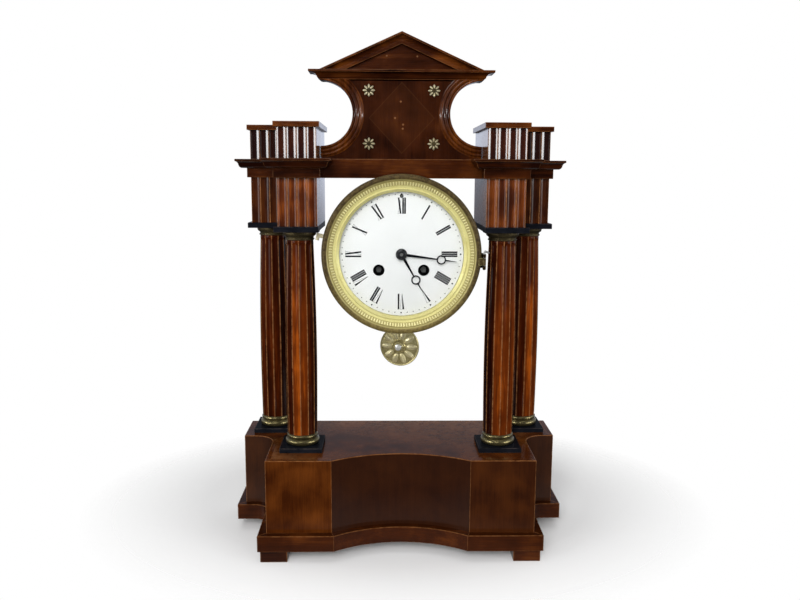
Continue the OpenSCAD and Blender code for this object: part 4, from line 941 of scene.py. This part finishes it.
def makePanel():
    front, back, half, edge, biteR, biteZ, wide, proud = pick(
        pediment, "frontY backY half edge biteR biteZ scrollW scrollOut")
    rows = roundPath([(1.0, front, 0.0), (0.0, front, edge), (0.0, back, edge), (1.0, back, 0.0)])
    loops = [[(x, y, z, w) for x, z in panelOutline(inset)] for inset, y, w in rows]
    looped("pediment_panel", loops, "polishPanel")
    beads = [bead(at, proud * 0.36, r, 175, 5, 10) for at, r in pick(pediment, "innerBead outerBead")]
    profile = [(0.0, 0.0), (0.0, proud - 0.35), (0.35, proud), (1.45, proud), (1.8, proud - 0.4)]
    profile += [(1.9, proud * 0.5)] + beads[0] + [(5.45, proud * 0.42)] + beads[1]
    profile += [(8.5, proud * 0.3), (wide, proud * 0.22), (wide, 0.0)]
    top = tier["pediment_panel"][1] - biteZ
    bm = newMesh()
    for side in (-1, 1):
        loops = []
        for out, h in profile:
            r = biteR + out
            stop = quarterTurn if r <= top else math.pi - math.asin(top / r)
            turns = fan(pediment["biteSteps"], stop, 1.5 * math.pi)
            loops.append([(side * (half + r * math.cos(a)), front - h, biteZ + r * math.sin(a))
                          for a in turns])
        addLoops(bm, list(zip(*loops)))
    newPiece("scroll_mouldings", bm, "polishScroll", sharp=50.0)


def makeGable():
    front, back, half, foot, wide, rise, rake, soft, ovolo = pick(
        pediment, "frontY backY half corniceFoot corniceOut rise rake corniceEdge ovoloR")
    low, high = tier["pediment_cornice"]
    gable = tier["raking_cornice"][0]
    out = front - wide

    def gablePlan(grow):
        x, y = half + grow, front - grow
        return roundPath([(-x, y, soft), (x, y, soft), (x, back, soft), (-x, back, soft)], True)

    def slopes(drop, y, w=0.0):
        reach = half * (rise - drop) / rise
        return [(-reach, y, gable, w), (0.0, y, gable + rise - drop, w), (reach, y, gable, w)]

    rows = [(foot - 1.0, low, 0.0), (foot, low, 0.2), (foot, low + pediment["fillet"], 0.0)]
    for a in fan(8):   # ovolo under the cove
        rows.append((foot + ovolo * math.sin(a), low + pediment["ovoloZ"] - ovolo * math.cos(a), 0.0))
    coveX, coveZ = pediment["coveAt"]
    reach = wide - foot - pediment["coveShort"]
    for a in fan(9)[1:]:
        rows.append((foot + coveX + reach * (1 - math.cos(a)),
                     low + coveZ + pediment["coveRise"] * math.sin(a), 0.0))
    rows += [(wide, low + pediment["coronaZ"], 0.25), (wide, high, soft), (2.0, high, 0.0)]
    mouldedPiece("pediment_cornice", gablePlan, roundPath(rows), "polishRake")
    (drop, step), (fall, sunk) = pick(pediment, "hollowAt hollow")
    rows = [(0.0, back, 0.0), (0.0, out, 0.35), (pediment["rakeFillet"], out, soft), (drop, out + step, 0.0)]
    for a in fan(7)[1:]:   # hollow under the fillet
        rows.append((drop + fall * (1 - math.cos(a)), out + step + sunk * math.sin(a), 0.0))
    top, foot, step = pediment["rakeStep"]
    rows += [(top, out + step, 0.0), (foot, out + step, soft), (rake, front + 0.3, 0.0), (rake, back, 0.0)]
    stations = list(zip(*(slopes(*row) for row in roundPath(rows))))
    looped("raking_cornice", stations, "polishRake", sharp=28.0)
    rows = [(rake + 1.0, front + 0.2, 0.0), (rake - 0.05, front + 0.2, 0.2), (rake - 0.05, back, 0.2),
            (rake + 1.0, back, 0.0)]
    looped("tympanum", [slopes(drop, y) for drop, y, w in roundPath(rows)], "polishGable")


# rosettes: petals round a centre, four times
rosette = {"x": 26.6, "lowZ": 335.2, "highZ": 377.7, "faceY": 7.4, "radius": 5.2, "petals": 8,
           "petal": (0.37, 0.165, 0.24), "tilt": -0.12, "ring": 0.62, "disc": 0.80, "eye": (0.24, 0.24, 0.28),
           "eyeOut": 0.0004}


def fourTimes(bench, ins, flower):
    corners = bench.geo("MeshGrid", {"Size X": ins["Across"], "Size Y": ins["Up"],
                                     "Vertices X": 2, "Vertices Y": 2})
    return faceFront(bench, ins, bench.geo("InstanceOnPoints", {"Points": corners, "Instance": flower}))


def wirePetals(bench, ins):
    bud = bench.geo("MeshUVSphere", {"Segments": 10, "Rings": 6, "Radius": ins["Radius"]})
    petal = bench.geo("Transform", {"Geometry": bud, "Scale": rosette["petal"],
                                    "Rotation": (0.0, rosette["tilt"], 0.0)})
    return fourTimes(bench, ins, ringOf(bench, ins["Petals"], ins["Radius"] * rosette["ring"], petal))


def wireGrounds(bench, ins):
    disc = bench.geo("MeshCylinder", {"Vertices": 24, "Radius": ins["Radius"] * rosette["disc"],
                                      "Depth": ins["Radius"] * 0.2})
    bud = bench.geo("MeshUVSphere", {"Segments": 12, "Rings": 8, "Radius": ins["Radius"]})
    eye = bench.geo("Transform", {"Geometry": bud, "Scale": rosette["eye"],
                                  "Translation": (0.0, 0.0, rosette["eyeOut"])})
    return fourTimes(bench, ins, joined(bench, disc, eye))


def makeRosettes():
    low, high = pick(rosette, "lowZ highZ")
    lengths = {"Radius": rosette["radius"], "Across": 2 * rosette["x"], "Up": high - low,
               "Place": (0.0, rosette["faceY"], (low + high) / 2)}
    growPiece("rosetteGrounds", wireGrounds, lengths, {}, "capitalGilt", "rosettes", sharp=50.0)
    growPiece("rosettePetals", wirePetals, lengths, {"Petals": rosette["petals"]}, "rosetteGilt", sharp=50.0)


# drum with its flange, back rim, saddle and hinge knuckles
drum = {"r": 57.0, "inner": 55.8, "flangeR": 62.0, "frontY": -19.1, "lintelY": -17.1, "backY": 25.4,
        "dialHole": 53.8, "hingeX": 65.9, "hingeZ": 242.0, "hingeY": -28.4, "knuckleR": 1.6, "knuckleH": 6.0,
        "knuckleBore": 0.8, "strap": 0.5, "gap": 0.2, "edge": 0.25, "seatGap": 0.05, "saddleEdge": 0.4}


def knuckle(bm, z, half, bore):
    r = drum["knuckleR"] - 0.25
    upper = [(r, half - 0.2), (r - 0.2, half), (bore, half)]
    profile = [(at, -h) for at, h in reversed(upper)] + upper
    lathe(bm, profile, upright(drum["hingeX"], drum["hingeY"], z), 24)


def makeDrum():
    r, inner, flange, hole, front, lintel, back = pick(drum, "r inner flangeR dialHole frontY lintelY backY")
    x, y, z, tall, strap = pick(drum, "hingeX hingeY hingeZ knuckleH strap")
    ends = [z + side * (tall * 0.75 + drum["gap"]) for side in (-1, 1)]
    bm = newMesh()
    for end in ends:
        addBox(bm, (x - strap, y, end - tall * 0.2), (x + strap, lintel, end + tall * 0.2))
    addBox(bm, (hole, front + 0.3, z - tall), (x + strap, lintel, z + tall))
    softEdges(bm, drum["edge"])
    for end in ends:
        knuckle(bm, end, tall / 4, drum["knuckleBore"])
    profile = [(hole, front), (flange - 0.3, front), (flange, front + 0.3, 1.0), (flange, lintel - 0.3),
               (flange - 0.3, lintel), (r + 0.4, lintel), (r, lintel + 0.4), (r, back - 0.4),
               (r - 0.4, back, 1.0), (inner + 0.2, back), (inner, back - 0.2), (inner, lintel + 1.5),
               (hole, lintel + 0.3)]
    lathe(bm, profile, facing(), 128)
    newPiece("drum", bm, "drumBrass")
    low, high = boxMm("drum_saddle")
    seat = r + drum["seatGap"]
    outline = [(x, dialAt["z"] + math.sqrt(seat ** 2 - x ** 2)) for x in fan(16, high.x, low.x)]
    bm = newMesh()
    addPrism(bm, outline + [(high.x, high.z), (low.x, high.z)], lambda u, v, h: (u, h, v), low.y, high.y)
    softEdges(bm, drum["saddleEdge"], 2)
    newPiece("drum_saddle", bm, "polishLintel")


# dial with numerals, minute dots, winding holes and the setting pin above the twelve
dial = {"r": 53.5, "frontY": -18.1, "backY": -16.6, "pipeHole": 3.5, "windX": 18.2, "windZ": 233.771,
        "windR": 4.6, "ink": (-0.05, 0.02), "numLow": 32.4, "numHigh": 45.2, "stroke": 1.32, "pitch": 1.6,
        "hair": 0.2, "serif": 0.14, "veeW": 3.3, "exW": 3.0, "space": 0.9, "dotR": 47.9, "dotSize": 0.42,
        "dotInk": 0.07, "dotOut": 0.015, "dotGrow": 0.55, "setZ": 46.6,
        "setRing": [(0.75, -0.25), (0.95, -0.42), (1.25, -0.42), (1.45, -0.25)],
        "setPin": [(0.0, -0.3), (0.4, -0.25), (0.62, -0.1)], "setPinR": 0.74,
        "rim": [(-0.5, 0.0), (-0.15, 0.15), (0.0, 0.5)], "holeRim": [(0.45, 0.0), (0.12, 0.14), (0.0, 0.45)]}
numerals = ["XII", "I", "II", "III", "IIII", "V", "VI", "VII", "VIII", "IX", "X", "XI"]


def circle(x, z, r, y, count):
    return [(x + r * math.cos(a), y, z + r * math.sin(a)) for a in fan(count, fullTurn)[:-1]]


def makeDial():
    front, back, r, windX, windZ, windR = pick(dial, "frontY backY r windX windZ windR")
    bm = newMesh()
    fronts, backs = [], []

    def addRim(x, z, radius, edge, count):
        profile = [(radius + out, front + y) for out, y in edge] + [(radius, back)]
        rows = addLoops(bm, [circle(x, z, pr, py, count) for pr, py in profile], False, (False, False))
        fronts.append(rows[0])
        backs.append(rows[-1])

    addRim(0.0, dialAt["z"], r, dial["rim"], 128)
    for x, z, hole in ((0.0, dialAt["z"], dial["pipeHole"]), (-windX, windZ, windR), (windX, windZ, windR)):
        addRim(x, z, hole, dial["holeRim"], 40)
    fillBetween(bm, *fronts)
    fillBetween(bm, *backs)
    newPiece("dial", bm, "whiteEnamel")


def bars(letter):
    w, hair = dial["stroke"] / 2, dial["hair"] / 2
    if letter == "I":
        return dial["pitch"], [[(-w, 0.0), (w, 0.0), (w, 1.0), (-w, 1.0)]]
    wide = dial["veeW"] if letter == "V" else dial["exW"]
    half = wide / 2
    if letter == "V":
        parts = [[(-hair, 0.0), (hair, 0.0), (-half + 2 * w, 1.0), (-half - 0.15, 1.0)],
                 [(-hair, 0.0), (hair, 0.0), (half + hair, 1.0), (half - hair, 1.0)]]
    else:
        parts = [[(half - 2 * w, 0.0), (half, 0.0), (-half + 2 * w, 1.0), (-half, 1.0)],
                 [(-half, 0.0), (-half + 2 * hair, 0.0), (half, 1.0), (half - 2 * hair, 1.0)]]
    return wide + dial["space"], parts


def makeNumerals():
    foot, thin = pick(dial, "numLow serif")
    tall = dial["numHigh"] - foot
    y0, y1 = (dial["frontY"] + out for out in dial["ink"])
    bm = newMesh()
    for hour, word in enumerate(numerals):
        place = clockwise(30.0 * hour)
        shapes = [bars(letter) for letter in word]
        at = -sum(width for width, parts in shapes) / 2
        for letter, (width, parts) in zip(word, shapes):
            middle = at + width / 2
            for part in parts:
                addPrism(bm, [(foot + v * tall, middle + u) for u, v in part], place, y0, y1)
            half = width / 2 + 0.05 if letter == "I" else width / 2 - 0.2
            x0, x1 = middle - half, middle + half
            for v in (tall - thin,) if letter == "V" else (0.0, tall - thin):
                r0, r1 = foot + v, foot + (v + thin)
                addPrism(bm, [(r0, x0), (r0, x1), (r1, x1), (r1, x0)], place, y0 + 0.01, y1)
            at += width
    newPiece(None, bm, "blackEnamel", "numerals")
    place = facing(0.0, dialAt["z"] + dial["setZ"])
    ring, pin = ([(r, y0 + out) for r, out in rows] for rows in pick(dial, "setRing setPin"))
    profile = [(ring[0][0], y1)] + ring + [(ring[-1][0], y1)]
    turned(None, profile, place, 28, True, "bluedSteel", "setterRing")
    turned(None, pin + [(dial["setPinR"], y1), (0.0, y1)], place, 20, False, "brightSteel", "setterPin")


def wireDots(bench, ins):
    track = bench.geo("MeshCircle", {"Vertices": 60, "Radius": ins["Track radius"]})
    fifth = bench.geo("InputIndex").calc("MODULO", 5.0).calc("LESS_THAN", 0.5)
    size = fifth * dial["dotGrow"] + 1.0
    drop = bench.geo("MeshCylinder", {"Vertices": 10, "Radius": ins["Dot radius"], "Depth": ins["Ink"]})
    dots = bench.geo("InstanceOnPoints", {"Points": track, "Instance": drop,
                                          "Scale": bench.join(size, size, 1.0)})
    return faceFront(bench, ins, dots)


def makeDots():
    lengths = {"Track radius": dial["dotR"], "Dot radius": dial["dotSize"], "Ink": dial["dotInk"],
               "Place": (0.0, dial["frontY"] - dial["dotOut"], dialAt["z"])}
    growPiece("minuteDots", wireDots, lengths, {}, "blackEnamel")


# bezel, its milled ring, glass, pull and hinge wire
bezel = {"r": 64.0, "backY": -19.4, "frontY": -28.4, "rimW": 5.6, "sightR": 50.0, "lipY": -24.85,
         "teeth": 160, "toothR": 0.56, "toothLow": 55.4, "toothHigh": 58.0, "ringR": 57.95, "ringLow": 53.15,
         "groove": 55.05, "grooveHalf": 0.2, "grooveIn": 0.3, "rimSweep": (30, 185.0, -10.0),
         "backEdge": [(-1.2, 0.0), (-0.8, -0.2), (-0.2, -1.6)], "quirk": 0.45, "quirkAt": 48.0, "quirkW": 8.0,
         "shoulder": [(58.55, 2.9), (58.45, 1.9), (58.2, 1.62)],
         "lip": [(52.9, -0.35), (52.6, -0.75), (52.1, -0.85), (51.7, -0.55), (51.5, -0.2), (50.7, 0.25),
                 (50.0, 0.9)],
         "knuckleBore": 0.85, "knuckleEdge": 0.2, "pullEdge": 0.35, "glassY": -23.4, "glassT": 1.7,
         "glassR": 51.2, "dome": 4.5, "wireR": 0.8, "wireFall": 25.0, "wireTail": (0.8, 1.8, 2.7, 2.85),
         "bend": (0.75, 0.8), "bendFall": 0.9}


def ringY(r):
    outer, inner = bezel["frontY"] + 1.75, bezel["lipY"] - 0.25
    return outer + (inner - outer) * (bezel["ringR"] - r) / (bezel["ringR"] - bezel["ringLow"])


def makeBezel():
    r, back, front, sight, groove, lip = pick(bezel, "r backY frontY sightR groove lipY")
    half = bezel["rimW"] / 2
    profile = [(sight, back)] + [(r + at, back + y) for at, y in bezel["backEdge"]]
    for degrees in fan(*bezel["rimSweep"]):
        a = math.radians(degrees)
        near = (degrees - bezel["quirkAt"]) / bezel["quirkW"]
        bulge = half - bezel["quirk"] * math.exp(-near ** 2)   # a quirk turned into the round rim
        profile.append((r - half + bulge * math.cos(a), front + half - bulge * math.sin(a)))
    profile += [(at, front + y) for at, y in bezel["shoulder"]]
    cut = bezel["grooveHalf"]
    for at in (bezel["ringR"], groove + cut, groove, groove - cut, bezel["ringLow"]):
        profile.append((at, ringY(at) + (bezel["grooveIn"] if at == groove else 0.0)))
    profile += [(at, lip + y) for at, y in bezel["lip"]]
    x, y, z, girth = pick(drum, "hingeX hingeY hingeZ knuckleR")
    tall = drum["knuckleH"] / 2 - 0.1
    bm = newMesh()
    addBox(bm, (x - girth - half, y, z - tall), (x, y + girth, z + tall))
    softEdges(bm, bezel["knuckleEdge"], 2)
    knuckle(bm, z, tall, bezel["knuckleBore"])
    lathe(bm, profile, facing(), 180)
    newPiece("bezel", bm, "bezelBrass")
    cadCopy("bezel_pull", bezel["pullEdge"], "pullBrass")
    dome, glassR, y0, thick = pick(bezel, "dome glassR glassY glassT")
    domeR = (sight ** 2 + dome ** 2) / (2 * dome)
    edge = math.asin((sight - 0.1) / domeR)
    crown = [(domeR * math.sin(a), y0 + domeR * (math.cos(edge) - math.cos(a))) for a in fan(24, edge)]
    profile = crown + [(glassR, y0), (glassR, y0 + thick)] + [(at, y + thick) for at, y in reversed(crown)]
    turned("bezel_glass", profile, facing(), 128, False, "watchGlass", sharp=40.0)


def wireTeeth(bench, ins):
    ridge = bench.geo("MeshCylinder", {"Vertices": 8, "Radius": ins["Ridge radius"],
                                       "Depth": ins["Ridge length"]})
    laid = bench.geo("Transform", {"Geometry": ridge, "Rotation": bench.join(y=ins["Lean"])})
    return faceFront(bench, ins, ringOf(bench, ins["Teeth"], ins["Track radius"], laid))


def makeMilling():
    low, high = pick(bezel, "toothLow toothHigh")
    middle = (low + high) / 2
    slope = math.atan2(ringY(low) - ringY(high), high - low)
    lengths = {"Track radius": middle, "Ridge radius": bezel["toothR"],
               "Ridge length": (high - low) / math.cos(slope), "Place": (0.0, ringY(middle), dialAt["z"])}
    others = {"Teeth": bezel["teeth"], "Lean": quarterTurn - slope}
    growPiece("bezelMilling", wireTeeth, lengths, others, "toothBrass", body="bezel_door")


def tubeLoops(path, radius, count=14):
    points = [Vector(p) for p in path]
    last = len(points) - 1
    loops = []
    for i, point in enumerate(points):
        ahead = points[min(i + 1, last)] - points[max(i - 1, 0)]
        turn = ahead.normalized().to_track_quat("Z", "Y")
        r = radius * (0.75 if i in (0, last) else 1.0)
        rim = [Vector((r * math.cos(a), r * math.sin(a), 0.0)) for a in fan(count, fullTurn)[:-1]]
        loops.append([point + turn @ out for out in rim])
    return loops


def makeHingeWire():
    low = boxMm("bezel_hinge_pin")[0]
    x, y = pick(drum, "hingeX hingeY")
    top = drum["hingeZ"] + drum["knuckleH"] + 3 * bezel["wireR"]
    fall = math.radians(bezel["wireFall"])
    wide, tall = bezel["bend"]
    path = [(x, y, low.z), (x, y, low.z + 0.15), (x, y, top - 1.0)]
    for a in fan(8, quarterTurn + fall)[1:]:
        path.append((x + wide * (1 - math.cos(a)), y, top - bezel["bendFall"] + tall * math.sin(a)))
    along = Vector((math.cos(fall), 0.0, -math.sin(fall)))
    path += [Vector(path[-1]) + along * reach for reach in bezel["wireTail"]]
    loops = tubeLoops(path, bezel["wireR"] - 0.02)
    looped("bezel_hinge_pin", loops, "brightSteel", "hingeWire", sharp=40.0)


# moon hands and their collet
hands = {"rootHalf": 1.2, "neckHalf": 0.5, "ringR": 3.8, "ringW": 1.05, "tipHalf": 0.6, "pointHalf": 0.14,
         "edge": 0.12, "overlap": 0.4, "colletBore": 1.32,
         "hour": {"angle": 150.4, "ring": 24.0, "length": 35.5, "hub": 4.3, "bore": 3.12},
         "minute": {"angle": 97.6, "ring": 32.4, "length": 45.0, "hub": 3.6, "bore": 2.22}}


def makeHand(name):
    angle, ring, length, hub, bore = pick(hands[name], "angle ring length hub bore")
    root, neck, tip, point, ringR, edge = pick(hands, "rootHalf neckHalf tipHalf pointHalf ringR edge")
    y0, y1 = (corner.y for corner in boxMm(name + "_hand"))
    place = clockwise(angle)
    reach = ringR - hands["overlap"]
    bm = newMesh()
    for u0, half0, u1, half1 in ((bore + 0.3, root, ring - reach, neck), (ring + reach, tip, length, point)):
        addPrism(bm, [(u0, -half0), (u1, -half1), (u1, half1), (u0, half0)], place, y0, y1)
    softEdges(bm, edge, 2)
    for outer, inner, at in ((ringR, ringR - hands["ringW"], ring), (hub, bore, 0.0)):
        profile = [(inner, y0 + edge), (inner + edge, y0, 1.0), (outer - edge, y0, 1.0), (outer, y0 + edge),
                   (outer, y1 - edge), (outer - edge, y1), (inner + edge, y1), (inner, y1 - edge)]
        x, y, z = place(at, 0.0, 0.0)
        lathe(bm, profile, facing(x, z), 40)
    newPiece(name + "_hand", bm, "bluedSteel")


def makeCollet():
    low, high = boxMm("hand_collet")
    r, y0, y1, bore = high.x, low.y, high.y, hands["colletBore"]
    profile = [(bore, y1), (r, y1), (r, y1 - 0.25)]
    for a in fan(9)[1:]:
        profile.append((r * 0.42 + (r * 0.57) * math.cos(a), y1 - 0.3 - (y1 - y0 - 0.3) * math.sin(a)))
    profile += [(bore + 0.18, y0 + 0.02), (bore, y0 + 0.2)]
    turned("hand_collet", profile, facing(), 48, True, "colletSteel")


# pendulum bob with embossed petals, a collar and a knob
bob = {"z": 159.7, "y": 33.6, "r": 17.8, "half": 3.5, "turn": -16.0, "petals": 10, "petalR": 11.2,
       "petalOut": 0.0009, "tilt": 0.10, "lobe": (5.3, 2.75, 1.7), "rib": (4.6, 0.5, 1.0),
       "ribAt": (0.0002, 0.0, 0.0011), "bossR": 5.0, "bossT": 3.4,
       "knob": [(0.0, 3.9), (2.9, 3.9), (2.95, 4.5), (2.9, 5.8), (2.4, 6.5), (1.3, 6.8)]}


def bobPlace(u, v, h):
    c, s = math.cos(math.radians(bob["turn"])), math.sin(math.radians(bob["turn"]))
    return (u * c + h * s, bob["y"] + u * s - h * c, bob["z"] + v)


def makeBob():
    r, half, boss = pick(bob, "r half bossR")
    profile = [(0.0, -half), (r * 0.5, -half + 0.35), (r * 0.75, -half + 1.2), (r - 1.2, -1.0),
               (r - 0.4, -0.75), (r, -0.2), (r, 0.2), (r - 0.5, 0.85, 1.0), (r - 1.1, 0.8),
               (r - 1.6, 0.45), (r * 0.8, 1.0), (r * 0.6, 1.5), (r * 0.37, 1.9), (boss + 1.2, 2.0),
               (boss + 0.9, 3.0), (boss + 0.4, 3.5), (boss - 0.1, 3.2), (boss - 0.25, 2.6), (0.0, 2.6)]
    collar = [(0.0, 2.3), (boss - 0.35, 2.3), (boss - 0.4, 3.7), (boss - 0.9, 4.3), (3.35, 4.4), (3.05, 4.1),
              (0.0, 4.1)]
    bm = newMesh()
    lathe(bm, profile, bobPlace, 96, False)
    lathe(bm, collar, bobPlace, 64, False)
    newPiece("pendulum_bob", bm, "bobGroundGilt")
    knob = bob["knob"] + [(0.0, half + bob["bossT"])]
    turned(None, knob, bobPlace, 48, False, "bossSilver", "bobBoss", "pendulum")


def wireBobPetals(bench, ins):
    bud = bench.geo("MeshUVSphere", {"Segments": 14, "Rings": 8, "Radius": mm})
    tilt = (0.0, bob["tilt"], 0.0)
    lobe = bench.geo("Transform", {"Geometry": bud, "Scale": bob["lobe"], "Rotation": tilt})
    rib = bench.geo("Transform", {"Geometry": bud, "Scale": bob["rib"], "Rotation": tilt,
                                  "Translation": bob["ribAt"]})
    petals = ringOf(bench, ins["Petals"], ins["Ring radius"], joined(bench, lobe, rib))
    raised = bench.geo("Transform", {"Geometry": petals, "Translation": (0.0, 0.0, bob["petalOut"])})
    return faceFront(bench, ins, raised, math.radians(bob["turn"]))


def makeBobPetals():
    lengths = {"Ring radius": bob["petalR"], "Place": (0.0, bob["y"], bob["z"])}
    others = {"Petals": bob["petals"]}
    growPiece("bobPetals", wireBobPetals, lengths, others, "bobGilt", body="pendulum", sharp=60.0)


# bell and the pieces behind the back plate
bell = {"x": -14.0, "z": 239.0, "mouthY": 37.2, "r": 27.0, "depth": 13.0, "wall": 1.6, "bore": 1.52,
        "crown": 0.55}


def makeBell():
    y0, r, deep, wall, bore, crown = pick(bell, "mouthY r depth wall bore crown")
    outer, inner = ([(wide * (crown + (1 - crown) * math.cos(a)), y0 + tall * math.sin(a)) for a in fan(18)]
                    for wide, tall in ((r, deep), (r - wall, deep - wall)))
    top = y0 + deep
    profile = outer + [(bore + 0.3, top), (bore, top - 0.3), (bore, top - wall)] + list(reversed(inner))
    turned("bell", profile, facing(bell["x"], bell["z"]), 96, True, "bellMetal", sharp=45.0)


# finish and width of the worked edges, then the plain finishes
works = {"back_plate": ("movementBrass", 0.35), "pendulum_cock": ("movementBrass", 0.3),
         "bell_stand": ("movementBrass", 0.25), "pallet_anchor": ("brightSteel", 0.15),
         "hammer": ("brightSteel", 0.25), "pendulum_rod": ("drumBrass", 0.15)}
# the front plate is painted near-black, standing in for the shade seen through the winding holes
plainFinish = {"hanger_screws": "brightSteel", "centre_arbor": "brightSteel", "front_plate": "darkPlate"}


def makeWorks():
    for node, (material, width) in works.items():
        cadCopy(node, width, material, camel(node) + "Worked")
    for node, piece in cadNodes.items():
        if not piece.hide_render:
            piece.data.materials.clear()
            kind = "winderSteel" if node.endswith("_winder") else plainFinish.get(node, "movementBrass")
            piece.data.materials.append(finish[kind])


makeFeet()
makeBase()
print("base made")
makeColumnFittings()
makeShafts()
print("columns made")
makeEntablature()
makeLintel()
makePanel()
makeGable()
makeRosettes()
print("entablature and pediment made")
makeDrum()
makeDial()
makeNumerals()
makeDots()
makeBezel()
makeMilling()
makeHingeWire()
makeHand("hour")
makeHand("minute")
makeCollet()
print("clock head made")
makeBob()
makeBobPetals()
makeBell()
makeWorks()
print("pendulum, bell and works made")


# camera, lights, floor and backdrop
shot = {"yaw": -1.214, "pitch": 9.082, "roll": 0.310, "at": (-14.37, -653.60, 311.10), "lens": 35.586}


def makeCamera():
    yaw, pitch, roll = (math.radians(shot[key]) for key in ("yaw", "pitch", "roll"))
    ahead = Vector((-math.sin(yaw), math.cos(yaw), 0.0))
    side = Vector((math.cos(yaw), math.sin(yaw), 0.0))
    up = ahead * math.sin(pitch) + Vector((0.0, 0.0, math.cos(pitch)))
    ahead = ahead * math.cos(pitch) - Vector((0.0, 0.0, math.sin(pitch)))
    right = side * math.cos(roll) + up * math.sin(roll)
    top = up * math.cos(roll) - side * math.sin(roll)
    view = bpy.data.cameras.new("shotCamera")
    view.sensor_width = 36.0
    view.lens = shot["lens"]
    view.clip_start = 0.01
    camera = show("shotCamera", view)
    rows = [(right[i], top[i], -ahead[i], shot["at"][i] * mm) for i in range(3)]
    camera.matrix_world = Matrix(rows + [(0.0, 0.0, 0.0, 1.0)])
    scene.camera = camera


# place, aim, size, watts and the rays they show in, in metres
lamps = {"front": ((-0.15, -1.35, 0.62), (0.0, 0.0, 0.22), (0.7, 0.7), 16.0, "diffuse"),
         "key": ((-0.30, -1.30, 1.15), (0.0, 0.0, 0.20), (0.6, 0.6), 5.0, "all"),
         "left": ((-0.66, -0.52, 0.34), (-0.05, 0.0, 0.22), (0.25, 0.5), 1.2, "all"),
         "right": ((0.66, -0.52, 0.34), (0.05, 0.0, 0.22), (0.25, 0.5), 1.0, "all"),
         "top": ((0.0, 0.1, 1.6), (0.0, 0.0, 0.2), (1.2, 1.0), 6.0, "all"),
         "cardLeft": ((-1.05, -0.45, 0.39), (0.0, 0.0, 0.39), (0.9, 0.10), 5.5, "gloss"),
         "cardRight": ((1.05, -0.45, 0.39), (0.0, 0.0, 0.39), (0.9, 0.10), 5.5, "gloss")}


def makeLamps():
    for name, (at, aim, size, watts, shows) in lamps.items():
        light = bpy.data.lights.new(name + "Light", "AREA")
        light.shape = "RECTANGLE"
        light.size, light.size_y = size
        light.energy = watts
        holder = show(name + "Light", light)
        turn = (Vector(at) - Vector(aim)).to_track_quat("Z", "Y")
        holder.matrix_world = Matrix.Translation(at) @ turn.to_matrix().to_4x4()
        holder.visible_camera = False
        holder.visible_diffuse = shows != "gloss"   # the cards only show as streaks on the polish
        holder.visible_glossy = shows != "diffuse"


studio = {"below": 0.09, "above": 0.24, "behind": 1.0, "high": 0.28, "sides": 0.9, "dim": 0.06, "under": 0.04,
          "leftward": 0.75, "cool": (0.84, 0.90, 1.06), "white": (1.0, 1.0, 1.0), "highZ": (0.10, 0.28),
          "behindY": (-0.05, 0.25), "leftX": (-0.10, -0.02), "leftZ": (-0.005, 0.02), "sidesX": (0.45, 0.75),
          "sidesZ": (-0.01, 0.03), "underZ": (-0.12, 0.0), "ambientZ": (-0.3, 0.6)}


def makeWorld():
    world = bpy.data.worlds.new("studioWorld")
    world.use_nodes = True
    world.node_tree.nodes.clear()
    scene.world = world
    bench = Bench(world.node_tree)
    x, y, z = bench.split(bench.add("ShaderNodeTexCoord", {}, {}, "Generated"))
    drop = z.ramp(*studio["highZ"]) * (studio["behind"] - studio["high"])
    behind = y.ramp(*studio["behindY"]) * (studio["behind"] - drop)
    leftward = (1.0 - x.ramp(*studio["leftX"])) * (1.0 - z.ramp(*studio["leftZ"]))
    behind = behind * (1.0 - leftward * studio["leftward"])
    sides = x.calc("ABSOLUTE").ramp(*studio["sidesX"]) * z.ramp(*studio["sidesZ"])
    bright = behind.calc("MAXIMUM", sides * studio["sides"])
    mirrored = bright.calc("MAXIMUM", studio["dim"]) * z.ramp(*studio["underZ"]) + studio["under"]
    ambient = studio["below"] + z.ramp(*studio["ambientZ"]) * (studio["above"] - studio["below"])
    path = bench.tree.nodes.new("ShaderNodeLightPath")
    camera, glossy, through = (Wire(bench, path.outputs["Is " + kind + " Ray"])
                               for kind in ("Camera", "Glossy", "Transmission"))
    seen = camera.calc("MAXIMUM", through)
    level = seen + (1.0 - seen) * (glossy * mirrored + (1.0 - glossy) * ambient)
    colour = bench.mix(glossy, studio["white"], studio["cool"])
    back = bench.add("ShaderNodeBackground", {}, {"Color": colour, "Strength": level})
    out = bench.tree.nodes.new("ShaderNodeOutputWorld")
    bench.tree.links.new(back.socket, out.inputs["Surface"])


ground = {"reach": 1.0, "halfX": 0.26, "halfY": 0.20, "atY": 0.08, "fade": (0.7, 1.15), "seed": 3.0,
          "colour": (0.93, 0.93, 0.93), "paper": (0.80, 0.80, 0.79), "noise": (0.4, 3.0, 0.6)}


def makeFloor():
    reach = ground["reach"]
    corners = [(-reach, -reach, 0.0), (reach, -reach, 0.0), (reach, reach, 0.0), (-reach, reach, 0.0)]
    mesh = bpy.data.meshes.new("paleFloor")
    mesh.from_pydata(corners, [], [(0, 1, 2, 3)])
    bench = newBench("paleFloor")
    x, y, z = bench.split(bench.add("ShaderNodeTexCoord", {}, {}, "Object"))
    far = ((x / ground["halfX"]) ** 2.0 + ((y - ground["atY"]) / ground["halfY"]) ** 2.0) ** 0.5
    paper = bench.noise(bench.spot(ground["seed"]), *ground["noise"])
    colour = bench.mix(paper * 0.06, ground["colour"], ground["paper"])
    pale = bench.surface({"Base Color": colour, "Roughness": 0.8, "Specular IOR Level": 0.1})
    clear = bench.add("ShaderNodeBsdfTransparent")
    shader = bench.add("ShaderNodeMixShader", {}, {0: far.ramp(*ground["fade"]), 1: pale, 2: clear})
    mesh.materials.append(bench.close(shader))
    floor = show("paleFloor", mesh)


makeCamera()
makeLamps()
makeWorld()
makeFloor()
print("camera, lights and floor made")
